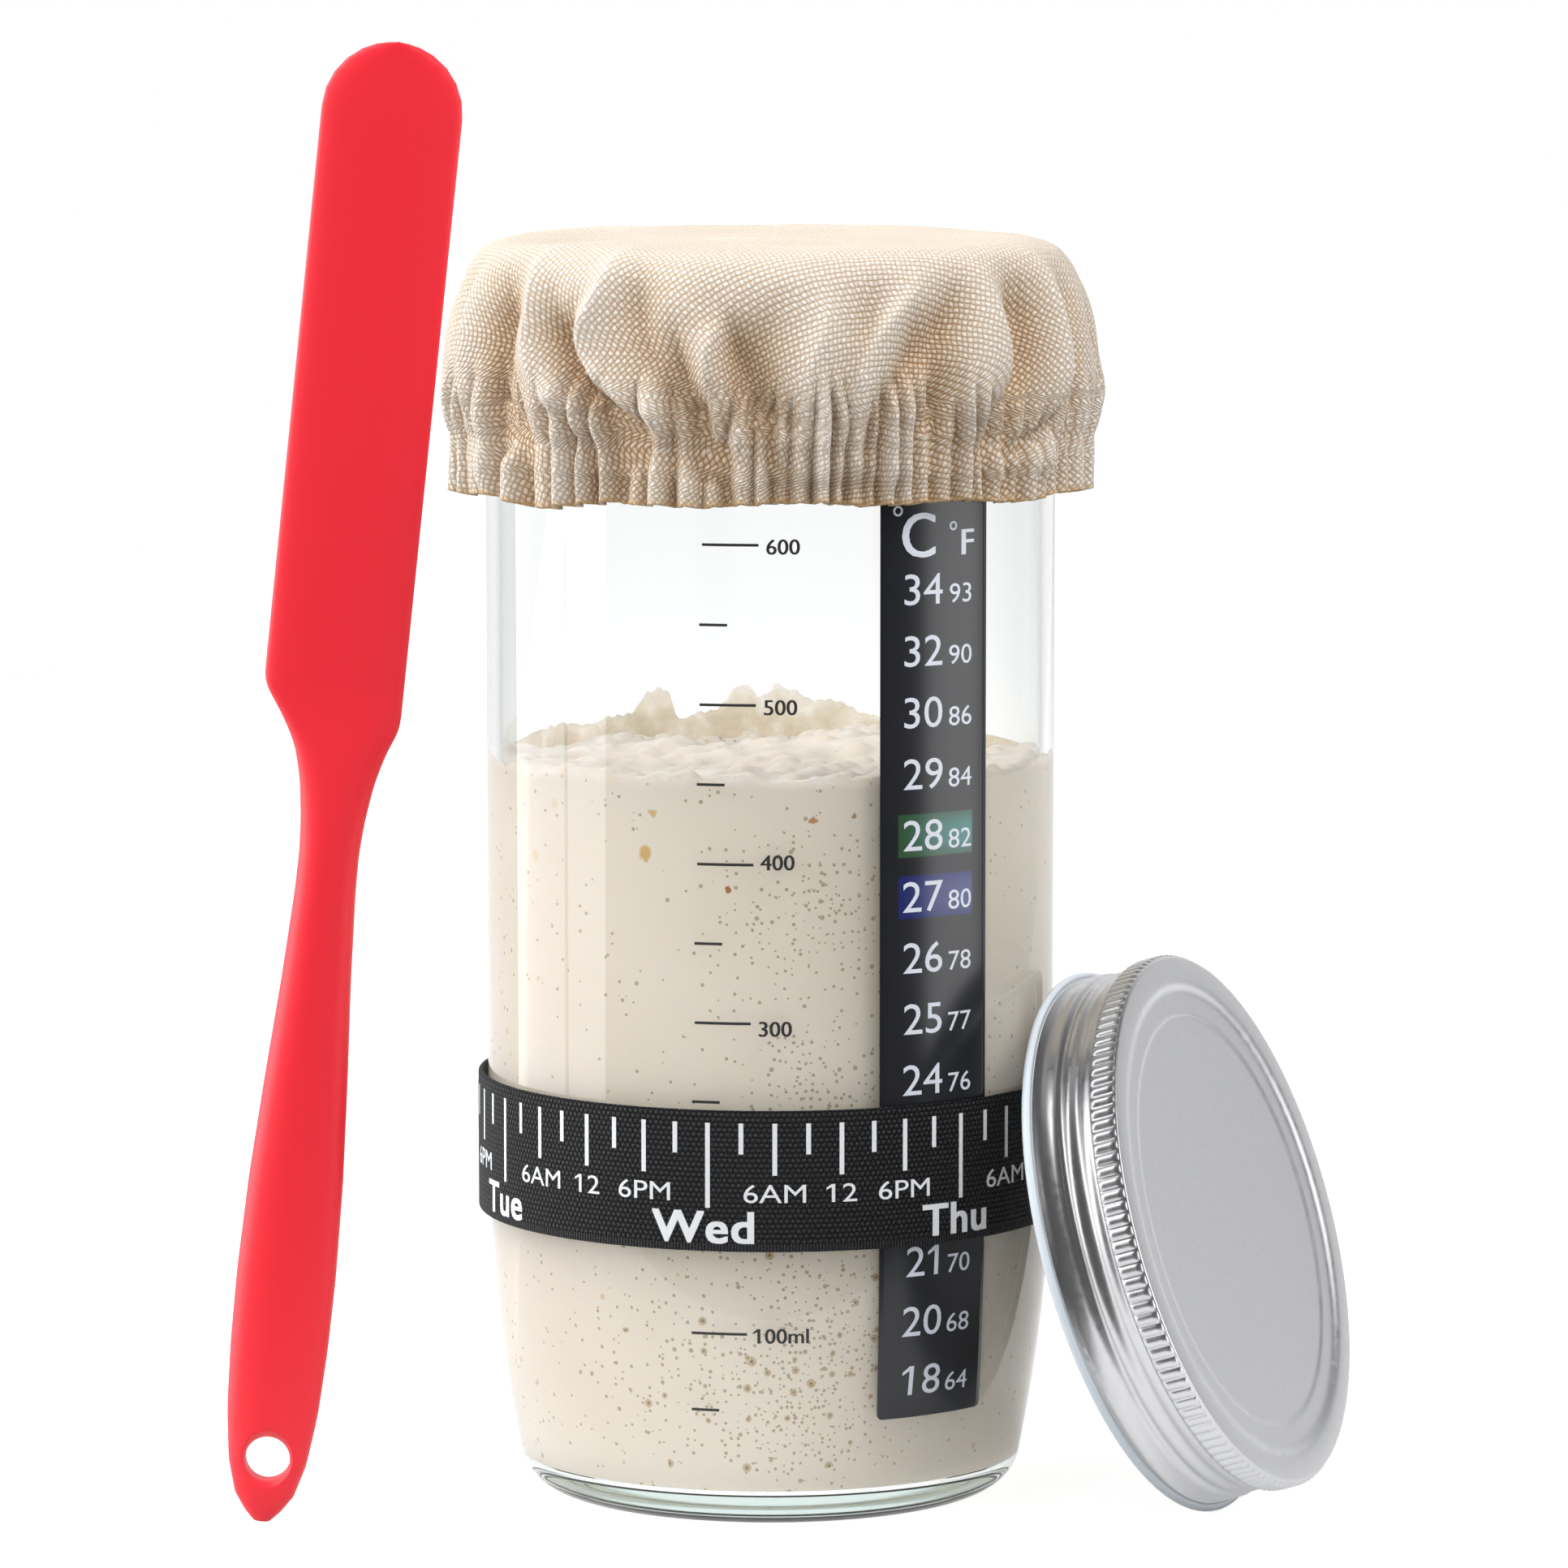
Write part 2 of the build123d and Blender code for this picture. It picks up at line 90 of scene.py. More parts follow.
def gridPiece(name, points, wrapColumns=False, wrapRows=False, uv=None, flip=False, values=None, weld=1e-7):
    # a sheet of quads over a grid of points in millimetres, rows by columns; wrapped sides share their points
    rows, columns = points.shape[:2]
    lastRow, lastColumn = rows - (not wrapRows), columns - (not wrapColumns)
    i, j = np.meshgrid(np.arange(lastRow), np.arange(lastColumn), indexing="ij")
    i, j = i.ravel(), j.ravel()
    corners = [(i, j), (i, j + 1), (i + 1, j + 1), (i + 1, j)]
    if flip:
        corners.reverse()
    faces = np.stack([(a % rows) * columns + b % columns for a, b in corners], 1)
    mesh = bpy.data.meshes.new(name)
    mesh.vertices.add(rows * columns)
    mesh.vertices.foreach_set("co", (points.reshape(-1, 3) * mm).ravel())
    mesh.loops.add(faces.size)
    mesh.loops.foreach_set("vertex_index", faces.ravel())
    mesh.polygons.add(len(faces))
    mesh.polygons.foreach_set("loop_start", np.arange(0, faces.size, 4))
    mesh.polygons.foreach_set("use_smooth", np.ones(len(faces), bool))
    if uv is not None:
        layer = mesh.uv_layers.new(name="flat")
        flat = np.stack([uv[a % uv.shape[0], b % uv.shape[1]] for a, b in corners], 1)
        layer.data.foreach_set("uv", flat.ravel())
    for key, data in (values or {}).items():
        mesh.attributes.new(key, "FLOAT", "POINT").data.foreach_set("value", data.astype(np.float32).ravel())
    mesh.update(calc_edges=True)
    mesh.validate()
    if weld:
        shape = bmesh.new()
        shape.from_mesh(mesh)
        bmesh.ops.remove_doubles(shape, verts=shape.verts, dist=weld)
        shape.to_mesh(mesh)
        shape.free()
    piece = bpy.data.objects.new(name, mesh)
    bpy.context.scene.collection.objects.link(piece)
    return piece


def outwards(piece):
    # all faces turned to point out of the closed mesh
    shape = bmesh.new()
    shape.from_mesh(piece.data)
    bmesh.ops.recalc_face_normals(shape, faces=shape.faces)
    shape.to_mesh(piece.data)
    shape.free()
    return piece


def joined(name, pieces):
    # several meshes put into one, with one material
    shape = bmesh.new()
    for piece in pieces:
        shape.from_mesh(piece.data)
        bpy.data.objects.remove(piece)
    mesh = bpy.data.meshes.new(name)
    shape.to_mesh(mesh)
    shape.free()
    made = bpy.data.objects.new(name, mesh)
    bpy.context.scene.collection.objects.link(made)
    return made


def meshPoints(mesh):
    # every vertex as a row of x, y and z
    flat = np.zeros(len(mesh.vertices) * 3)
    mesh.vertices.foreach_get("co", flat)
    return flat.reshape(-1, 3)


def onJar(bearing, radius, height):
    # a point by its angle from the front towards +X, its radius and its height
    turn = np.radians(bearing)
    return np.stack([radius * np.sin(turn), -radius * np.cos(turn), height + 0 * turn + 0 * radius], -1)


def put(piece, body, slot, material, *nodes):
    # the piece gets its material, the nodes it stands for and the body it rides on; the slot is not used
    piece.data.materials.clear()
    piece.data.materials.append(material)
    if nodes:
        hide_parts(*nodes)
    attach(piece, body)
    return piece


# Printed letters and marks, in millimetres and in heights of a capital
letters = {
    "capital": 0.682,  # height of a capital beside the font's size
    "flagReach": 0.24, "flagTip": 0.8, "flagUnder": 0.69, "flagRoot": 0.84,  # the flag of a 1
    "depth": 0.06, "thin": 0.03, "boldSpacing": 1.06, "copyRise": 0.004, "longestFace": 1.2,
}


def lettering(text, cap, align="CENTER", depth=letters["depth"], spacing=1.0):
    # a line of text as a flat closed mesh in millimetres, baseline at 0, middle of its thickness at 0; each
    # 1 gets a flag
    def typed(part):
        # some letters of the built-in font, filled and given their thickness
        curve = bpy.data.curves.new("letters", "FONT")
        curve.body, curve.size = part, cap / letters["capital"]
        curve.resolution_u, curve.extrude, curve.space_character = 4, depth / 2, spacing
        holder = bpy.data.objects.new("letters", curve)
        bpy.context.scene.collection.objects.link(holder)
        bpy.context.view_layer.update()
        mesh = bpy.data.meshes.new_from_object(holder)
        bpy.data.objects.remove(holder)
        return mesh

    flag = [(0, 1), (-letters["flagReach"], letters["flagTip"]),
            (-letters["flagReach"], letters["flagUnder"]), (0, letters["flagRoot"])]
    mesh = typed(text)
    shape = bmesh.new()
    shape.from_mesh(mesh)
    for i, letter in enumerate(text):
        if letter == "1":
            before = meshPoints(typed(text[:i]))[:, 0].max() if i else -1.0
            reach = meshPoints(typed(text[:i + 1]))[:, 0]
            stem = reach[reach > before + 1e-6].min()
            outline = [(stem + x * cap, y * cap) for x, y in flag]
            loops = [[shape.verts.new((x, y, z)) for x, y in outline] for z in (-depth / 2, depth / 2)]
            shape.faces.new(loops[0])
            shape.faces.new(loops[1][::-1])
            for k in range(4):
                shape.faces.new((loops[0][k], loops[1][k], loops[1][k - 1], loops[0][k - 1]))
    if align == "CENTER":
        across = [v.co.x for v in shape.verts]
        bmesh.ops.translate(shape, vec=(-(min(across) + max(across)) / 2, 0, 0), verts=shape.verts)
    shape.to_mesh(mesh)
    shape.free()
    return mesh


def plate(width, height, depth=letters["depth"]):
    # a thin upright box hanging down from 0, middle of its thickness at 0
    w, d = width / 2, depth / 2
    corners = [(x, y, z) for z in (-d, d) for x, y in ((-w, -height), (w, -height), (w, 0), (-w, 0))]
    faces = [(3, 2, 1, 0), (4, 5, 6, 7), (0, 1, 5, 4), (1, 2, 6, 5), (2, 3, 7, 6), (3, 0, 4, 7)]
    mesh = bpy.data.meshes.new("plate")
    mesh.from_pydata(corners, [], faces)
    return mesh


def overprinted(text, cap, stem, bar, bearing, face, height, across=0.0, wide=1.0):
    # bold letters: the same text printed several times, a little apart, each copy a little higher on the face
    copies = [(dx, dy) for dx in (-stem, 0, stem) for dy in (-bar, bar)]
    return [wrapped(lettering(text, cap, spacing=letters["boldSpacing"]), bearing,
                    face + letters["copyRise"] * k, height + dy, across + dx, wide)
            for k, (dx, dy) in enumerate(copies)]


def dial(radius, line, depth=letters["depth"], turns=48):
    # a flat ring: four corners of a square section turned about the middle
    corners = ((radius - line, -depth / 2), (radius, -depth / 2), (radius, depth / 2),
               (radius - line, depth / 2))
    turn = np.linspace(0, 2 * np.pi, turns, endpoint=False)
    points = np.array([np.stack([r * np.cos(turn), r * np.sin(turn), 0 * turn + z], -1)
                       for r, z in corners]) / mm
    piece = gridPiece("dial", points, wrapColumns=True, wrapRows=True, weld=0)
    mesh = piece.data
    bpy.data.objects.remove(piece)
    return mesh


def wrapped(mesh, bearing, face, height, across=0.0, wide=1.0):
    # a flat mesh in millimetres stretched, moved and bent round the jar; face is a radius, or a function
    # that gives it from the height
    shape = bmesh.new()
    shape.from_mesh(mesh)
    bmesh.ops.scale(shape, vec=(wide, 1, 1), verts=shape.verts)
    reach = [v.co.x for v in shape.verts]
    for x in np.arange(math.floor(min(reach)) + 0.5, max(reach), letters["longestFace"]):
        everything = shape.verts[:] + shape.edges[:] + shape.faces[:]
        bmesh.ops.bisect_plane(shape, geom=everything, plane_co=(x, 0, 0), plane_no=(1, 0, 0))
    bmesh.ops.recalc_face_normals(shape, faces=shape.faces)
    shape.to_mesh(mesh)
    shape.free()
    points = meshPoints(mesh)
    x, y = points[:, 0] + across, points[:, 1]
    radius = face(height + y) if callable(face) else face + 0 * x
    bent = onJar(bearing + np.degrees(x / radius), radius + points[:, 2], height + y) * mm
    mesh.vertices.foreach_set("co", bent.ravel())
    mesh.update()
    piece = bpy.data.objects.new("mark", mesh)
    bpy.context.scene.collection.objects.link(piece)
    return piece


def sweep(name, section, bearings, closed=False):
    # a closed section of (radius, height) swept round the jar's axis; open sweeps are capped at both ends
    section = np.asarray(section, float)
    ends = [] if closed else [bearings[0]]
    bearings = np.concatenate([ends, bearings, [] if closed else [bearings[-1]]])
    radius, height = section[:, :1] + 0 * bearings, section[:, 1:] + 0 * bearings
    points = onJar(bearings[None, :] + 0 * radius, radius, height)
    if not closed:
        points[:, 0] = points[:, 1].mean(axis=0)
        points[:, -1] = points[:, -2].mean(axis=0)
    if closed:
        bearings = np.append(bearings, bearings[0] + 360)
    flat = np.stack([np.radians(bearings)[None, :] * section[:, :1], section[:, 1:] + 0 * bearings], -1) * mm
    return outwards(gridPiece(name, points, wrapColumns=closed, wrapRows=True, uv=flat))


def roundedBox(inner, outer, low, high, edge, steps=5):
    # closed section: a rectangle with round corners, each of a number of steps
    corners = [((outer - edge, low + edge), -90), ((outer - edge, high - edge), 0),
               ((inner + edge, high - edge), 90), ((inner + edge, low + edge), 180)]
    return np.concatenate([arcPoints(centre, edge, start, start + 90, steps) for centre, start in corners])


def filleted(points, radius, steps=4):
    # a polyline with each inner corner replaced by a curve that starts a radius away, or less on short runs
    points = [np.array(p, float) for p in points]
    made = [points[0]]
    for before, corner, after in zip(points, points[1:], points[2:]):
        back, on = before - corner, after - corner
        a = min(radius, 0.45 * np.linalg.norm(back)) / max(np.linalg.norm(back), 1e-9)
        b = min(radius, 0.45 * np.linalg.norm(on)) / max(np.linalg.norm(on), 1e-9)
        start, end = corner + back * a, corner + on * b
        for t in np.linspace(0, 1, steps + 1):
            made.append((1 - t) ** 2 * start + 2 * t * (1 - t) * corner + t * t * end)
    made.append(points[-1])
    return np.array(made)


def turnedPiece(name, outline, columns, ripple=None):
    # an outline of (radius, height) turned about Z; the ripple adds to the radius by (angle, radius, height)
    turn = np.linspace(0, 2 * np.pi, columns, endpoint=False)
    radius, height = outline[:, :1] + 0 * turn, outline[:, 1:] + 0 * turn
    if ripple is not None:
        radius = radius + ripple(turn[None, :], radius, height)
    points = np.stack([radius * np.cos(turn), radius * np.sin(turn), height], -1)
    ring = bool(outline[0, 0] > 0)
    return outwards(gridPiece(name, points, wrapColumns=True, wrapRows=ring, values={"level": height}))


# Material helpers

class Finish:
    # a material with a Principled shader and short ways to add nodes
    def __init__(self, name, **sockets):
        # sockets are named as on the shader, with _ for a space
        self.material = bpy.data.materials.new(name)
        self.material.use_nodes = True
        self.tree = self.material.node_tree
        self.shader = self.tree.nodes["Principled BSDF"]
        self.output = self.tree.nodes["Material Output"]
        for key, value in sockets.items():
            self.shader.inputs[key.replace("_", " ")].default_value = value

    def add(self, kind, inputs=None, output=0, **settings):
        # a node with its settings and inputs; gives back one of its outputs
        made = self.tree.nodes.new("ShaderNode" + kind)
        for key, value in settings.items():
            setattr(made, key, value)
        for key, value in (inputs or {}).items():
            self.link(value, made.inputs[key])
        return made.outputs[output]

    def link(self, value, socket):
        # a link from another node, or a plain value
        if isinstance(value, bpy.types.NodeSocket):
            self.tree.links.new(value, socket)
        else:
            socket.default_value = value

    def math(self, operation, a, b=0.0, c=0.0):
        return self.add("Math", {0: a, 1: b, 2: c}, operation=operation)

    def mix(self, share, a, b, blend="MIX"):
        # colour a where the share is 0 and b where it is 1
        made = self.tree.nodes.new("ShaderNodeMix")
        made.data_type, made.blend_type = "RGBA", blend
        for socket, value in ((made.inputs[0], share), (made.inputs[6], a), (made.inputs[7], b)):
            self.link(value, socket)
        return made.outputs[2]

    def place(self):
        # Object coordinates, in metres
        return self.add("TexCoord", output=3)

    def flat(self):
        # the piece's own UV map, in metres
        return self.add("UVMap", uv_map="flat")

    def noise(self, at, scale, detail=2.0, roughness=0.5, output=0):
        inputs = {"Vector": at, "Scale": scale, "Detail": detail, "Roughness": roughness}
        return self.add("TexNoise", inputs, output)

    def stretched(self, at, scale, turn=(0, 0, 0)):
        return self.add("Mapping", {"Vector": at, "Scale": scale, "Rotation": turn})

    def between(self, value, low, high, toLow=0.0, toHigh=1.0):
        # straight line from toLow at low to toHigh at high, held level outside
        inputs = {"Value": value, "From Min": low, "From Max": high, "To Min": toLow, "To Max": toHigh}
        return self.add("MapRange", inputs)

    def bump(self, height, distance, strength=1.0):
        # a normal from a height of 0 to 1 that stands for the distance, in metres
        return self.add("Bump", {"Height": height, "Distance": distance, "Strength": strength})

    def set(self, **sockets):
        # links or values for the shader's sockets
        for key, value in sockets.items():
            self.link(value, self.shader.inputs[key.replace("_", " ")])
        return self


# Camera and studio

studio = {
    "cameraPlace": (1.91, -1170.9, 236.8),
    "cameraDrop": 6.664,  # degrees below the level
    "focalPixels": 10283.4,
    "framePixels": 1932,
    "filmWidth": 36.0,
    # from here on in metres; the paper ends in front of the jar
    "floorLeft": -0.2, "floorRight": 0.46, "floorBack": 6.0, "floorFront": -0.12,
    "aim": (0, 0, 0.1),
    # lamps that only light: name, place, size and watts
    "lights": [("keyLamp", (-1.09, 0.12, 0.68), (1.0, 2.0), 27),
               ("frontLamp", (-0.8, -0.9, 0.6), (0.6, 0.8), 3.4),
               ("sideLamp", (0.55, -0.32, 0.95), (0.8, 0.8), 8.5),
               ("lowLamp", (0.2, -0.75, 0.1), (0.2, 0.2), 0.5)],
    # a small one in the headspace, in place of what a bright room throws in
    "inside": ("insideGlow", (0, 0, 0.141), (0.05, 0.05), 0.013), "insideAim": (0, 0.001, 0.1),
    # softboxes that only show as reflections in glass and film
    "shines": [("windowShine", (-1.09, 0.12, 0.45), (1.3, 2.3), 24),
               ("stripShine", (0.945, -0.195, 0.25), (0.51, 0.9), 4.0)],
    "top": ("topLamp", (-0.15, 0.0, 1.25), (0.9, 0.9), 0.9),
    "sky": 0.40,  # strength of the world as a light
    # the white backdrop begins and is full at these Y of a direction; the last is the strength of the room
    # in front
    "metalSees": (0.35, 0.85, 0.10), "glassSees": (0.80, 0.91, 0.58),
    "paper": (0.48, 0.48, 0.48, 1), "paperGlow": 0.84, "paperInMetal": 0.55,
}


def makeCamera():
    # lens length = film width times the focal length in pixels over the width of the frame
    data = bpy.data.cameras.new("camera")
    data.sensor_width = studio["filmWidth"]
    data.lens = studio["filmWidth"] * studio["focalPixels"] / studio["framePixels"]
    data.clip_end = 100
    camera = bpy.data.objects.new("camera", data)
    camera.location = Vector(studio["cameraPlace"]) * mm
    camera.rotation_euler = (math.radians(90 - studio["cameraDrop"]), 0, 0)
    bpy.context.scene.collection.objects.link(camera)
    bpy.context.scene.camera = camera


def softbox(name, place, size, watts, aim=studio["aim"]):
    # a rectangular lamp that faces its aim
    data = bpy.data.lights.new(name, "AREA")
    data.shape, data.size, data.size_y = "RECTANGLE", size[0], size[1]
    data.energy = watts
    lamp = bpy.data.objects.new(name, data)
    lamp.location = place
    lamp.rotation_euler = (Vector(aim) - Vector(place)).to_track_quat("-Z", "Y").to_euler()
    bpy.context.scene.collection.objects.link(lamp)
    return lamp


def makeStudio():
    # lamps, a backdrop for rays alone, and a sheet of paper that glows where the camera or glass sees it
    lights = [softbox(*lamp) for lamp in studio["lights"]] + [softbox(*studio["inside"], studio["insideAim"])]
    for lamp in lights:
        lamp.visible_glossy = lamp.visible_transmission = lamp.visible_camera = False
    for lamp in [softbox(*lamp) for lamp in studio["shines"]]:
        lamp.visible_diffuse = lamp.visible_transmission = False
    softbox(*studio["top"])
    world = bpy.data.worlds.new("studio")
    world.use_nodes = True
    bpy.context.scene.world = world
    tree = world.node_tree
    nodes, links = tree.nodes, tree.links
    rays = nodes.new("ShaderNodeLightPath")
    direction = nodes.new("ShaderNodeTexCoord")
    split = nodes.new("ShaderNodeSeparateXYZ")
    links.new(direction.outputs["Generated"], split.inputs[0])

    def backdrop(low, high, dark):
        # strength by direction: dark in front, rising to white between two values of Y
        ease = nodes.new("ShaderNodeMapRange")
        ease.inputs["From Min"].default_value, ease.inputs["From Max"].default_value = low, high
        ease.inputs["To Min"].default_value, ease.inputs["To Max"].default_value = dark, 1.0
        links.new(split.outputs["Y"], ease.inputs["Value"])
        return ease.outputs[0]

    def blend(share, a, b):
        # a where the share is 0 and b where it is 1
        made = nodes.new("ShaderNodeMix")
        for socket, value in ((made.inputs[0], share), (made.inputs[2], a), (made.inputs[3], b)):
            if isinstance(value, float):
                socket.default_value = value
            else:
                links.new(value, socket)
        return made.outputs[0]

    light = blend(rays.outputs["Is Glossy Ray"], studio["sky"], backdrop(*studio["metalSees"]))
    light = blend(rays.outputs["Is Transmission Ray"], light, backdrop(*studio["glassSees"]))
    light = blend(rays.outputs["Is Camera Ray"], light, 1.0)
    links.new(light, nodes["Background"].inputs["Strength"])
    nodes["Background"].inputs["Color"].default_value = (1, 1, 1, 1)

    mesh = bpy.data.meshes.new("floor")
    left, right, front, back = (studio[key] for key in ("floorLeft", "floorRight", "floorFront", "floorBack"))
    corners = [(left, front, 0), (right, front, 0), (right, back, 0), (left, back, 0)]
    mesh.from_pydata(corners, [], [(0, 1, 2, 3)])
    floor = bpy.data.objects.new("floor", mesh)
    bpy.context.scene.collection.objects.link(floor)
    paper = Finish("floorPaper", Base_Color=studio["paper"], Roughness=0.9)
    paper.shader.inputs["Specular IOR Level"].default_value = 0.0
    rays = paper.tree.nodes.new("ShaderNodeLightPath")
    seen = paper.math("MAXIMUM", rays.outputs["Is Camera Ray"], rays.outputs["Is Transmission Ray"])
    inMetal = paper.math("MULTIPLY", rays.outputs["Is Glossy Ray"], studio["paperInMetal"])
    seen = paper.math("MAXIMUM", seen, inMetal)
    paper.shader.inputs["Emission Color"].default_value = (1, 1, 1, 1)
    paper.link(paper.math("MULTIPLY", seen, studio["paperGlow"]), paper.shader.inputs["Emission Strength"])
    mesh.materials.append(paper.material)
    settings = bpy.context.scene.view_settings
    settings.view_transform = "Standard"


makeCamera()
makeStudio()
report("camera, lamps and floor")


# Jar glass

jar = {
    "radius": 40.0, "height": 176.2, "wall": 2.0, "base": 4.5,
    "taperStart": 50.0, "taperRadius": 220.0, "heel": 6.5, "innerHeel": 5.0,
    "footRing": 3.0, "punt": 1.0, "puntReach": 1.6, "ringRound": 0.5,
    "shoulderStart": 149.0, "shoulderEnd": 156.5, "neck": 35.8, "neckWall": 2.2, "lip": 1.05,
    "threadPitch": 4.2, "threadHeight": 1.1, "threadBottom": 162.0, "threadTurns": 1.5, "threadWidth": 1.15,
    "threadFade": 0.12,  # of a turn, at both ends
    "columns": 240,
    "clear": (0.966, 0.971, 0.969, 1), "clearToLight": (0.87, 0.88, 0.875, 1),
    "inDepth": (0.30, 0.74, 0.66, 1), "density": 5.0,  # what the thickness takes from the light
}


def footLine(offset, heel, level):
    # taper arc about one middle for all layers, then the heel arc tangent to it and to the level, from the
    # top down
    radius = jar["taperRadius"] + offset
    centre = jar["radius"] - jar["taperRadius"]
    rise = jar["taperStart"] - level - heel
    reach = math.sqrt((radius - heel) ** 2 - rise**2)
    turn = math.degrees(math.atan2(rise, reach))
    taper = arcPoints((centre, jar["taperStart"]), radius, 0, -turn, 14)
    low = arcPoints((centre + reach, level + heel), heel, -turn, -90, 14)
    return np.concatenate([taper, low[1:]])


def shoulderLine(lowRadius, highRadius):
    # S of two equal arcs from the wall in to the neck
    low, high = jar["shoulderStart"], jar["shoulderEnd"]
    drop, rise = lowRadius - highRadius, high - low
    turn = 2 * math.atan(drop / rise)
    bend = rise / (2 * math.sin(turn))
    degrees = math.degrees(turn)
    first = arcPoints((lowRadius - bend, low), bend, 0, degrees, 9)
    second = arcPoints((highRadius + bend, high), bend, 180 + degrees, 180, 9)
    return np.concatenate([first, second[1:]])


def wallRadius(height, offset=0.0):
    # outer radius of the wall at a height below the shoulder, moved out by the offset
    radius = jar["taperRadius"] + offset
    drop = np.clip(jar["taperStart"] - np.asarray(height, float), 0, None)
    return jar["radius"] - jar["taperRadius"] + np.sqrt(radius**2 - drop**2)


def makeJar():
    # one closed outline from the punt up the outside, over the lip and down the inside, turned about Z
    outer = footLine(0, jar["heel"], 0)[::-1]
    inner = footLine(-jar["wall"], jar["innerHeel"], jar["base"])
    footOuter, floorInner = outer[0, 0], inner[-1, 0]
    footInner = footOuter - jar["footRing"]
    bore = jar["neck"] - jar["neckWall"]
    cavity = jar["radius"] - jar["wall"]
    lip, top = jar["lip"], jar["height"]
    under = arcPoints((footInner - jar["punt"], 0), jar["punt"], 90, 30, 4)
    neckRise = np.stack([np.full(60, jar["neck"]), np.linspace(jar["shoulderEnd"], top - lip, 60)], 1)
    wallRise = np.linspace(jar["taperStart"], jar["shoulderStart"], 22)[1:-1]
    outline = np.concatenate([
        np.stack([np.linspace(0, footInner - jar["puntReach"], 8), np.full(8, jar["punt"])], 1), under,
        [[footInner + jar["ringRound"], 0.0]], outer,
        np.stack([np.full(20, jar["radius"]), wallRise], 1),
        shoulderLine(jar["radius"], jar["neck"]), neckRise[1:],
        arcPoints((jar["neck"] - lip, top - lip), lip, 0, 90, 7)[1:],
        arcPoints((bore + lip, top - lip), lip, 90, 180, 7)[1:],
        np.stack([np.full(6, bore), np.linspace(top - lip, jar["shoulderEnd"], 8)[1:-1]], 1),
        shoulderLine(cavity, bore)[::-1],
        np.stack([np.full(20, cavity), wallRise[::-1]], 1),
        inner, np.stack([np.linspace(floorInner, 0, 8)[1:], np.full(7, jar["base"])], 1),
    ])
    turn = np.linspace(0, 2 * np.pi, jar["columns"], endpoint=False)
    radius, height = outline[:, :1] + 0 * turn, outline[:, 1:] + 0 * turn
    # thread: a rounded ridge whose middle climbs with the angle and fades at both ends
    ridge = np.zeros_like(radius)
    for lap in range(3):
        along = lap + turn / (2 * np.pi)
        middle = jar["threadBottom"] + jar["threadPitch"] * along
        fade = 1 - smooth(along, jar["threadTurns"] - jar["threadFade"], jar["threadTurns"])
        fade = smooth(along, 0, jar["threadFade"]) * fade
        ridge = np.maximum(ridge, fade * np.exp(-(((height - middle) / jar["threadWidth"]) ** 4)))
    onNeck = (np.abs(radius - jar["neck"]) < 0.01) & (height > jar["shoulderEnd"] + 1) & (height < top - lip)
    radius = radius + jar["threadHeight"] * ridge * onNeck
    points = np.stack([radius * np.cos(turn), radius * np.sin(turn), height], -1)
    piece = gridPiece("jar", points, wrapColumns=True)
    glass = Finish("clearGlass", Base_Color=jar["clear"], Roughness=0.0, IOR=1.5, Transmission_Weight=1.0)
    tint = glass.add("VolumeAbsorption", {"Color": jar["inDepth"], "Density": jar["density"]})
    glass.tree.links.new(tint, glass.output.inputs["Volume"])
    # light passes straight through, so that what is inside is lit
    rays = glass.tree.nodes.new("ShaderNodeLightPath")
    clear = glass.add("BsdfTransparent", {"Color": jar["clearToLight"]})
    blend = glass.add("MixShader", {0: rays.outputs["Is Shadow Ray"], 1: glass.shader.outputs[0], 2: clear})
    glass.tree.links.new(blend, glass.output.inputs["Surface"])
    put(outwards(piece), "jar", "jar_glass", glass.material, "jar_glass")
    return piece


makeJar()
report("jar glass")


# Starter

